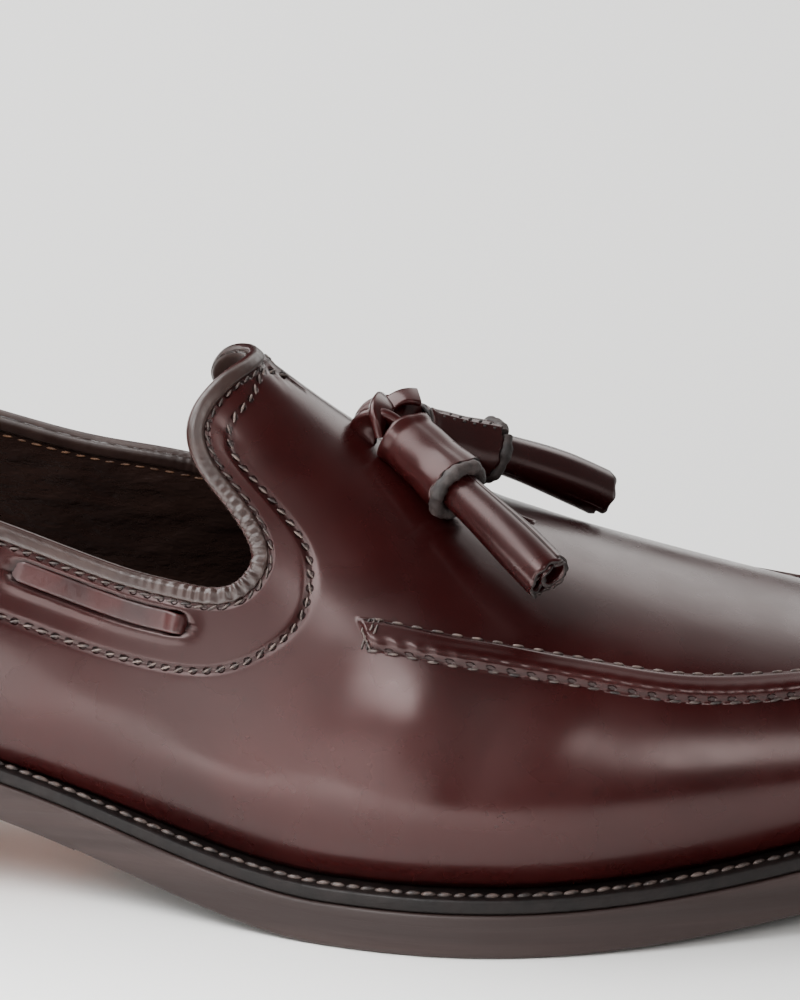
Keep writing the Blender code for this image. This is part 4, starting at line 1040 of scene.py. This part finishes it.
def heelPlan(drawIn):
    ways = np.linspace(0, 1, 1500)
    halves = []
    for side in (-1, 1):
        edge = offsetOutline(side, ways, 1.0, -drawIn)
        keep = edge[edge[:, 0] <= sole["heelLength"]]
        gone = chordKnots(keep)
        at = np.linspace(0, gone[-1], 71)
        halves.append(np.stack([np.interp(at, gone, keep[:, 0]), np.interp(at, gone, keep[:, 1])], -1))
    outer, inner = halves
    share = np.linspace(0, 1, 41)[1:-1]
    y = inner[-1, 1] + (outer[-1, 1] - inner[-1, 1]) * share
    breast = np.stack([sole["heelLength"] - sole["breastHollow"] * 4 * share * (1 - share), y], -1)
    return np.vstack([outer[::-1], inner[1:], breast, outer[::-1][:1]])


def heelLayer(name, material, rows):
    bm = bmesh.new()
    plans = [heelPlan(drawIn) for drawIn, _, _ in rows]
    centre = np.array([sole["heelLength"] * 0.5, 0.0])

    def at(column, row):
        flat = np.array([plans[r][c] for r, c in zip(row, column)])
        share = np.array([r[1] for r in rows])[row]
        flat = centre + (flat - centre) * share[:, None]
        height = np.array([rows[r][2](x) for r, x in zip(row, flat[:, 0])])
        return np.column_stack([flat + origin[:2], height]), {}

    laidGrid(bm, len(plans[0]) - 1, len(rows) - 1, at)
    weld(bm, 1e-6)
    bmesh.ops.recalc_face_normals(bm, faces=bm.faces)
    return finishObject(name, bm, material)


def buildHeel():
    lift, gap, taper = sole["topLift"], last["gap"], sole["heelTaper"]
    drawn, foot, layers = taper * 0.8, lift + gap * 0.5, 5
    rounding = ((0.0, 0.0), (0.95, 0.0), (0.98, 0.0), (0.99, 0.0002), (0.995, 0.0005))
    rows = [(taper, share, lambda x, high=high: high) for share, high in rounding]
    rows += [(taper * (1 - 0.2 * s), 1.0, lambda x, s=s: lift * s) for s in (0.15, 0.5, 0.9)]
    rows += [(drawn, share, lambda x: lift) for share in (0.992, 0.0)]
    piece = heelLayer("top_lift_rubber", liftRubber, rows)
    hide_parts("heel_top_lift")

    def top(x):
        return float(treadLine(x)) - gap * 0.3

    rows = [(drawn, share, lambda x: foot) for share in (0.0, 0.992)]
    for k in range(layers):
        for s, share in ((0.04, 0.996), (0.12, 1.0), (0.5, 1.0), (0.88, 1.0), (0.96, 0.996)):
            t = (k + s) / layers
            rows.append((drawn * (1 - t), share, lambda x, t=t: foot + (top(x) - foot) * t))
    rows += [(0.0, share, top) for share in (0.992, 0.0)]
    piece = heelLayer("heel_stack_leather", soleEdge, rows)
    piece.data.materials.append(breastFinish)
    for face in piece.data.polygons:
        ahead = face.center.x > origin[0] + sole["heelLength"] - 2.2 * sole["breastHollow"]
        face.material_index = 1 if face.normal.x > 0.7 and ahead else 0
    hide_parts("heel_stack")


buildSole()
buildHeel()
print("sole and heel made")


def buildLaces():
    make = laceMake
    for name, side, way, half in laceRuns:
        path, normals = lacePath(side, way, half + make["hidden"], 81)
        t = np.linspace(0, 1, len(path))
        swell, narrow = (np.exp(-((t - make[key][0]) / make[key][1]) ** 2) for key in ("bulgeAt", "narrowAt"))
        rise = (-make["sink"] + make["thickness"] * 0.5 + make["over"] + make["bulge"] * swell
                - make["tuck"] * smoothStep(make["tuckFrom"], 1.0, t)
                - make["rearTuck"] * smoothStep(make["rearTuckTo"], 0.0, t) + 0.0001 * np.sin(t * 9))
        wide = (make["width"] * (1 - make["narrow"] * narrow)
                * (1 - make["point"] * smoothStep(make["pointFrom"], 1, t)))
        bm = bmesh.new()
        sweptBar(bm, path + normals * rise[:, None], normals, wide, make["thickness"], 0.42)
        piece = finishObject("lace_" + name, bm, laceLeather, angle=80)
        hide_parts("collar_lace_" + name)


buildLaces()


stitchSpread = {"place": 0.00006, "slant": 4, "length": 0.06}


def addStitch(bm, at, ahead, facing, long, radius):
    side = facing.cross(ahead).normalized()
    facing = ahead.cross(side).normalized()
    turn = Matrix((ahead, side, facing)).transposed().to_4x4()
    size = Matrix.Diagonal((long / 2, radius, radius, 1))
    place = Matrix.Translation(at) @ turn @ size
    bmesh.ops.create_uvsphere(bm, u_segments=8, v_segments=6, radius=1, matrix=place)


def pointAlong(rows, gone, where):
    return Vector([np.interp(where, gone, rows[:, a]) for a in range(3)])


# a row of stitches along a line on either side, each a little aslant and half sunk
def stitchRow(name, rowAt, make, material, lift=0.0001, onSkin=True):
    bm = bmesh.new()
    rng = np.random.default_rng(len(name))
    for side in (-1, 1):
        points, normals = rowAt(side)
        gone = chordKnots(points)
        for k in range(int(gone[-1] / make["pitch"])):
            where = (k + 0.5) * make["pitch"] + rng.normal(0, stitchSpread["place"])
            at, there = pointAlong(points, gone, where), pointAlong(points, gone, where + 5e-4)
            facing = pointAlong(normals, gone, where).normalized()
            if onSkin:
                at, facing, _, _ = upperTree.find_nearest(at)
                there = upperTree.find_nearest(there)[0]
            ahead = (there - at).normalized()
            if ahead.length < 0.5:
                continue
            slant = math.radians(make["slant"] + rng.normal(0, stitchSpread["slant"]))
            long = make["length"] * (1 + rng.normal(0, stitchSpread["length"]))
            ahead = Matrix.Rotation(slant, 3, facing) @ ahead
            addStitch(bm, at + facing * lift, ahead, facing, long, make["radius"])
    piece = finishObject(name, bm, material, angle=80)


# a row on the leather moved upwards across it
def movedUp(side, points, normals, across):
    return points + np.cross(headings(points), normals) * side * across, normals


def seamLine(side, across):
    ways = np.linspace(last["apronStart"], 1, 900)
    ups = apronLine(side, ways)
    return movedUp(side, lastPoint(side, ways, ups), lastNormal(side, ways, ups), across)


half = upperMake["seamWidth"] / 2
stitchRow("band_stitches", lambda side: bandLines[side][3:], bandSew, threadFinish)
stitchRow("edge_stitches", lambda side: movedUp(side, *toplineLines[side][3:], edgeSew["drop"]),
          edgeSew, shadedThread)
stitchRow("apron_upper_stitches", lambda side: seamLine(side, half * 0.94), seamSew, threadFinish, 0.0002)
stitchRow("apron_lower_stitches", lambda side: seamLine(side, -half * 0.95), seamSew, shadedThread, 0.0001)


# three whipped threads that close each end of the apron's seam
def buildSeamEnds():
    bm = bmesh.new()
    for side in (-1, 1):
        above, below = (seamLine(side, half * share)[0] for share in (0.9, -0.95))
        ahead = Vector(above[6] - above[0]).normalized()
        for shift in (0.0, 0.0009, 0.0018):
            first = Vector(above[0]) + ahead * (shift + 0.0006)
            final = Vector(below[0]) + ahead * (shift - 0.0004)
            found = [upperTree.find_nearest(first.lerp(final, share))[:2] for share in np.linspace(0, 1, 9)]
            for k in range(1, 8):
                along = (found[k + 1][0] - found[k - 1][0]).normalized()
                addStitch(bm, found[k][0] + found[k][1] * 0.00008, along, found[k][1], 0.0013, 0.00024)
    piece = finishObject("apron_end_threads", bm, shadedThread, angle=80)


buildSeamEnds()


def insideLine(side):
    _, ups, _, points, normals = toplineLines[side]
    points = movedUp(side, points, normals, -innerSew["drop"])[0] - normals * (last["wall"] + 0.0002)
    keep = ups < 0.60
    return points[keep], -normals[keep]


stitchRow("lining_stitches", insideLine, innerSew, tanThread, 0.0, False)


def weltLine(side):
    ways = np.linspace(0.0, 1.0, 1400)
    flat = offsetOutline(side, ways, 1.0, -weltSew["inset"])
    height = soleTop(flat[:, 0]) + last["gap"] + sole["welt"]
    points = np.column_stack([flat, height]) + origin
    return points, np.tile((0.0, 0.0, 1.0), (len(points), 1))


stitchRow("welt_stitches", weltLine, weltSew, shadedThread, 0.0001, False)
print("stitched")

tassels = {
    # start and end of the straight axis of each solid, how far its fringe droops, and how its seam is turned
    "outer": {"start": (0.02783, 0.00063, 0.08523), "end": (0.05913, -0.02816, 0.06822),
              "droop": 0.0012, "turn": 50},
    "inner": {"start": (0.02983, 0.00838, 0.08405), "end": (0.06424, 0.03232, 0.06561),
              "droop": 0.0022, "turn": -25},
}
tasselMake = {
    "cap": 0.0160, "capRadius": 0.0046, "capFlare": 0.0055, "capWall": 0.0009, "capWay": 386, "seam": 62,
    "capLap": 0.0010, "capLip": 0.0006, "capWaist": 0.00025, "capGrid": (64, 30),
    "ring": 0.0014, "ringWay": 352, "ringGrid": (72, 12), "ringSkew": 0.0007,
    "fringe": 0.0270, "neck": 0.0041, "fringeRadius": 0.0047, "stripWall": 0.00072, "stripGrid": (26, 36),
    "shadedHoles": 6,
}
# wide strips: where each lies round the axis, its own radius at neck and end, how far it is rolled,
# where it opens, how far it lies off the axis
fringeStrips = (
    (33, 0.0035, 0.0042, 170, 33, 0.0003),
    (150, 0.0035, 0.0043, 130, 168, 0.0003),
    (270, 0.0034, 0.0041, 105, 275, 0.0002),
    (122, 0.0020, 0.0027, 335, 250, 0.0014),
    (-22, 0.0014, 0.0018, 330, 150, 0.0026),
)


def tasselFrame(tassel):
    start, end = Vector(tassel["start"]), Vector(tassel["end"])
    axis = (end - start).normalized()
    side = axis.cross(Vector((0, 0, 1))).normalized()
    return [np.array(v) for v in (start, axis, side, side.cross(axis).normalized())]


def leatherSheet(name, grid, at, wall):
    bm = bmesh.new()
    laidGrid(bm, *grid, at)
    bm.normal_update()
    piece = finishObject(name, bm, strapLeather, angle=50)
    piece.data.materials.append(cutEdge)
    thicken(piece, wall, 0)
    piece.modifiers["wall"].material_offset_rim = 1
    return piece


def buildTassel(name, tassel):
    make = tasselMake
    start, axis, side, top = tasselFrame(tassel)
    seam = math.radians(make["seam"] + tassel["turn"])
    cap, ring, flare = make["cap"], make["ring"], make["capFlare"] - make["capRadius"]

    def placed(gone, a, b):
        return start + axis * gone[:, None] + side * a[:, None] + top * b[:, None], {}

    def capAt(column, row):
        u, v = column / make["capGrid"][0], row / make["capGrid"][1]
        turn = seam + u * math.radians(make["capWay"])
        radius = (make["capRadius"] + flare * v + make["capLap"] * smoothStep(0.90, 1.0, u)
                  + make["capLip"] * smoothStep(0.16, 0.0, v)
                  - make["capWaist"] * np.exp(-((v - 0.62) / 0.22) ** 2))
        radius = radius * (1 + 0.05 * np.cos(2 * turn + 0.6)) + 0.00004 * np.sin(turn * 3 + v * 5)
        gone = v * (cap + 0.0004) + 0.00035 * np.sin(turn * 3 + 1) * (1 - v)
        gone = gone - 0.0004 * (v > 0.99) * np.sin(turn * 9)
        return placed(gone, radius * np.cos(turn), radius * np.sin(turn))

    piece = leatherSheet("tassel_cap_" + name, make["capGrid"], capAt, make["capWall"])
    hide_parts("tassel_" + name)

    # the rolled ring round the neck, its two ends side by side
    def ringAt(column, row):
        u, v = column / make["ringGrid"][0], row / make["ringGrid"][1]
        turn, around = seam + 0.3 + u * math.radians(make["ringWay"]), v * 2 * math.pi
        thick = ring * (1 + 0.10 * np.sin(turn * 7) + 0.07 * np.sin(turn * 17 + around))
        out = make["capFlare"] - 0.0002 + thick * np.cos(around)
        gone = cap + ring + thick * 0.95 * np.sin(around) + make["ringSkew"] * (u - 0.5)
        return placed(gone, out * np.cos(turn), out * np.sin(turn))

    bm = bmesh.new()
    laidGrid(bm, *make["ringGrid"], ringAt)
    weld(bm, 1e-6)
    bmesh.ops.holes_fill(bm, edges=[e for e in bm.edges if e.is_boundary])
    bmesh.ops.recalc_face_normals(bm, faces=bm.faces)
    piece = finishObject("tassel_ring_" + name, bm, cutEdge, angle=80)

    base = cap + 2 * ring - 0.0016
    for k, (around, neck, wide, rolled, opening, out) in enumerate(fringeStrips):
        around, opening = math.radians(around), math.radians(opening)
        long = make["fringe"] - 0.0008 * (k % 3) + 0.0016

        def stripAt(column, row):
            u, v = column / make["stripGrid"][0], row / make["stripGrid"][1]
            grow = smoothStep(0.0, 0.8, v)
            radius = neck + (wide - neck) * grow
            turn = opening + (u - 0.5) * math.radians(rolled) * (1 + 0.06 * v)
            radius = radius * (1 - 0.16 * smoothStep(0.6, 1, np.abs(u - 0.5) * 2) * (rolled > 200))
            centre = out * (0.45 + 0.55 * grow)
            gone = base + v * long + 0.00025 * np.sin(u * 23 + k * 2) * (v > 0.98)
            a = centre * math.cos(around) + radius * np.cos(turn)
            b = centre * math.sin(around) + radius * np.sin(turn)
            size = np.hypot(a, b)
            limit = (make["neck"] + (make["fringeRadius"] - make["neck"]) * grow) * 1.04
            squeeze = np.where(size > limit, limit / size, 1)
            return placed(gone, a * squeeze, b * squeeze - tassel["droop"] * v ** 2)

        leatherSheet(f"tassel_strip_{name}_{k}", make["stripGrid"], stripAt, make["stripWall"])
    # dark blobs on the seam where the cap's edges meet: painted shade for the openings of its stitches
    bm = bmesh.new()
    for k in range(make["shadedHoles"]):
        gone = cap * (0.14 + 0.145 * k)
        out = make["capRadius"] + flare * gone / cap + make["capLap"]
        for turn, long, further in ((seam + 0.46, 0.0012, 0), (seam + 0.28, 0.0008, 0.0006)):
            facing = Vector(side * math.cos(turn) + top * math.sin(turn))
            at = Vector(start + axis * (gone + further)) + facing * (out - 0.0001)
            addStitch(bm, at, Matrix.Rotation(0.6, 3, facing) @ Vector(axis), facing, long, 0.00030)
    piece = finishObject("tassel_seam_shade_" + name, bm, cutEdge, angle=80)


for name, tassel in tassels.items():
    buildTassel(name, tassel)


# the knotted lace between them, in mm: path, width, thickness, way that its face looks
knotStraps = {
    "strap_to_outer": (((20.0, 2.4, 84.2), (21.2, 2.2, 87.4), (24.0, 1.6, 88.9), (27.0, 0.9, 87.6),
                        (31.0, -2.2, 84.6)),
                       6.0, 2.0, (0.3, 0.75, 0.6)),
    "strap_to_inner": (((20.6, 5.4, 85.4), (22.2, 5.6, 88.4), (25.6, 6.2, 89.4), (29.0, 8.0, 87.4),
                        (33.0, 10.6, 84.0)),
                       6.0, 2.0, (0.3, -0.6, 0.7)),
    "wrap": (((24.4, -0.6, 86.2), (24.0, 0.6, 89.9), (24.2, 3.6, 91.0), (24.6, 6.6, 90.2), (25.4, 8.0, 86.6)),
             5.6, 1.9, (0.6, 0.0, 0.8)),
    "cut_end": (((23.6, 4.4, 87.6), (25.2, 5.2, 90.2), (28.2, 6.4, 91.6), (30.6, 7.4, 91.2)),
                4.8, 1.3, (-0.2, -0.4, 0.9)),
}


def buildKnot():
    steps = 40
    for name, (spots, wide, thick, facing) in knotStraps.items():
        spots = np.array(spots) / 1000
        knots = chordKnots(spots)
        path = smoothThrough(knots, spots)(np.linspace(0, knots[-1], steps))
        ahead = headings(path)
        faces = np.tile(unit(np.array(facing)), (steps, 1))
        faces = unit(faces - ahead * (faces * ahead).sum(1, keepdims=True))
        widths = wide / 1000 * (1 - 0.14 * np.sin(np.linspace(0, 1, steps) * math.pi) ** 2)
        bm = bmesh.new()
        sweptBar(bm, path, faces, widths, thick / 1000, 0.4)
        for face in bm.faces:
            face.material_index = int(len(face.verts) > 6)
        piece = finishObject("knot_" + name, bm, strapLeather, angle=60)
        piece.data.materials.append(cutEdge)
        if name == "strap_to_outer":
            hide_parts("tassel_knot")


buildKnot()
print("tassels made")

# floor and light
light = {"floor": (0.86, 0.857, 0.845), "shade": 0.07}

# soft bright and dark parts of the studio round the shoe: turn from straight ahead, height, reach and strength
glows = (
    (-36, 2, 32, 3.2), (-30, 34, 36, 0.7), (8, 38, 42, 0.5), (39, 37, 13, 9.0), (160, 24, 24, 3.4),
    (168, 50, 26, 1.0), (-80, 20, 60, 0.35), (95, 8, 60, 0.25),
)
# place, aim, width, height, power and spread of each lamp
lamps = {
    "over floor": (towards(-110, 52, 2.2), (0, 0, 0), 2.2, 2.2, 112, 180),
    "left key": (towards(-36, 20, 1.9), (0, 0, 0.05), 1.3, 1.0, 3, 180),
    "low left": ((-0.44, -0.44, 0.34), (-0.44, -0.44, 0), 0.8, 0.6, 15, 110),
}


floorMaterial = newMaterial("floor", light["floor"], 0.75)
bm = bmesh.new()
bmesh.ops.create_grid(bm, x_segments=1, y_segments=1, size=6)
floorMesh = bpy.data.meshes.new("floor")
bm.to_mesh(floorMesh)
bm.free()
floorMesh.materials.append(floorMaterial)
floor = bpy.data.objects.new("floor", floorMesh)
bpy.context.scene.collection.objects.link(floor)

world = bpy.data.worlds.new("studio")
world.use_nodes = True
facing = node(world, "ShaderNodeTexCoord").outputs["Generated"]
bright = None
for turn, lift, reach, strength in glows:
    dot = node(world, "ShaderNodeVectorMath", {0: facing, 1: towards(turn, lift)}, operation="DOT_PRODUCT")
    part = mapped(world, dot.outputs["Value"], math.cos(math.radians(reach)), 1.0, 0.0, strength)
    bright = math2(world, "ADD", bright if bright else light["shade"], part)
background = world.node_tree.nodes["Background"]
background.inputs["Color"].default_value = (1.0, 0.985, 0.965, 1)
world.node_tree.links.new(bright, background.inputs["Strength"])
bpy.context.scene.world = world


def softbox(name, place, aim, width, height, power, spread):
    data = bpy.data.lights.new(name, "AREA")
    data.shape = "RECTANGLE"
    data.size, data.size_y = width, height
    data.energy = power
    data.spread = math.radians(spread)
    lamp = bpy.data.objects.new(name, data)
    away = (Vector(place) - Vector(aim)).normalized()
    lamp.matrix_world = Matrix.Translation(place) @ away.to_track_quat("Z", "Y").to_matrix().to_4x4()
    bpy.context.scene.collection.objects.link(lamp)


for name, lamp in lamps.items():
    softbox(name, *lamp)
print("studio lit")
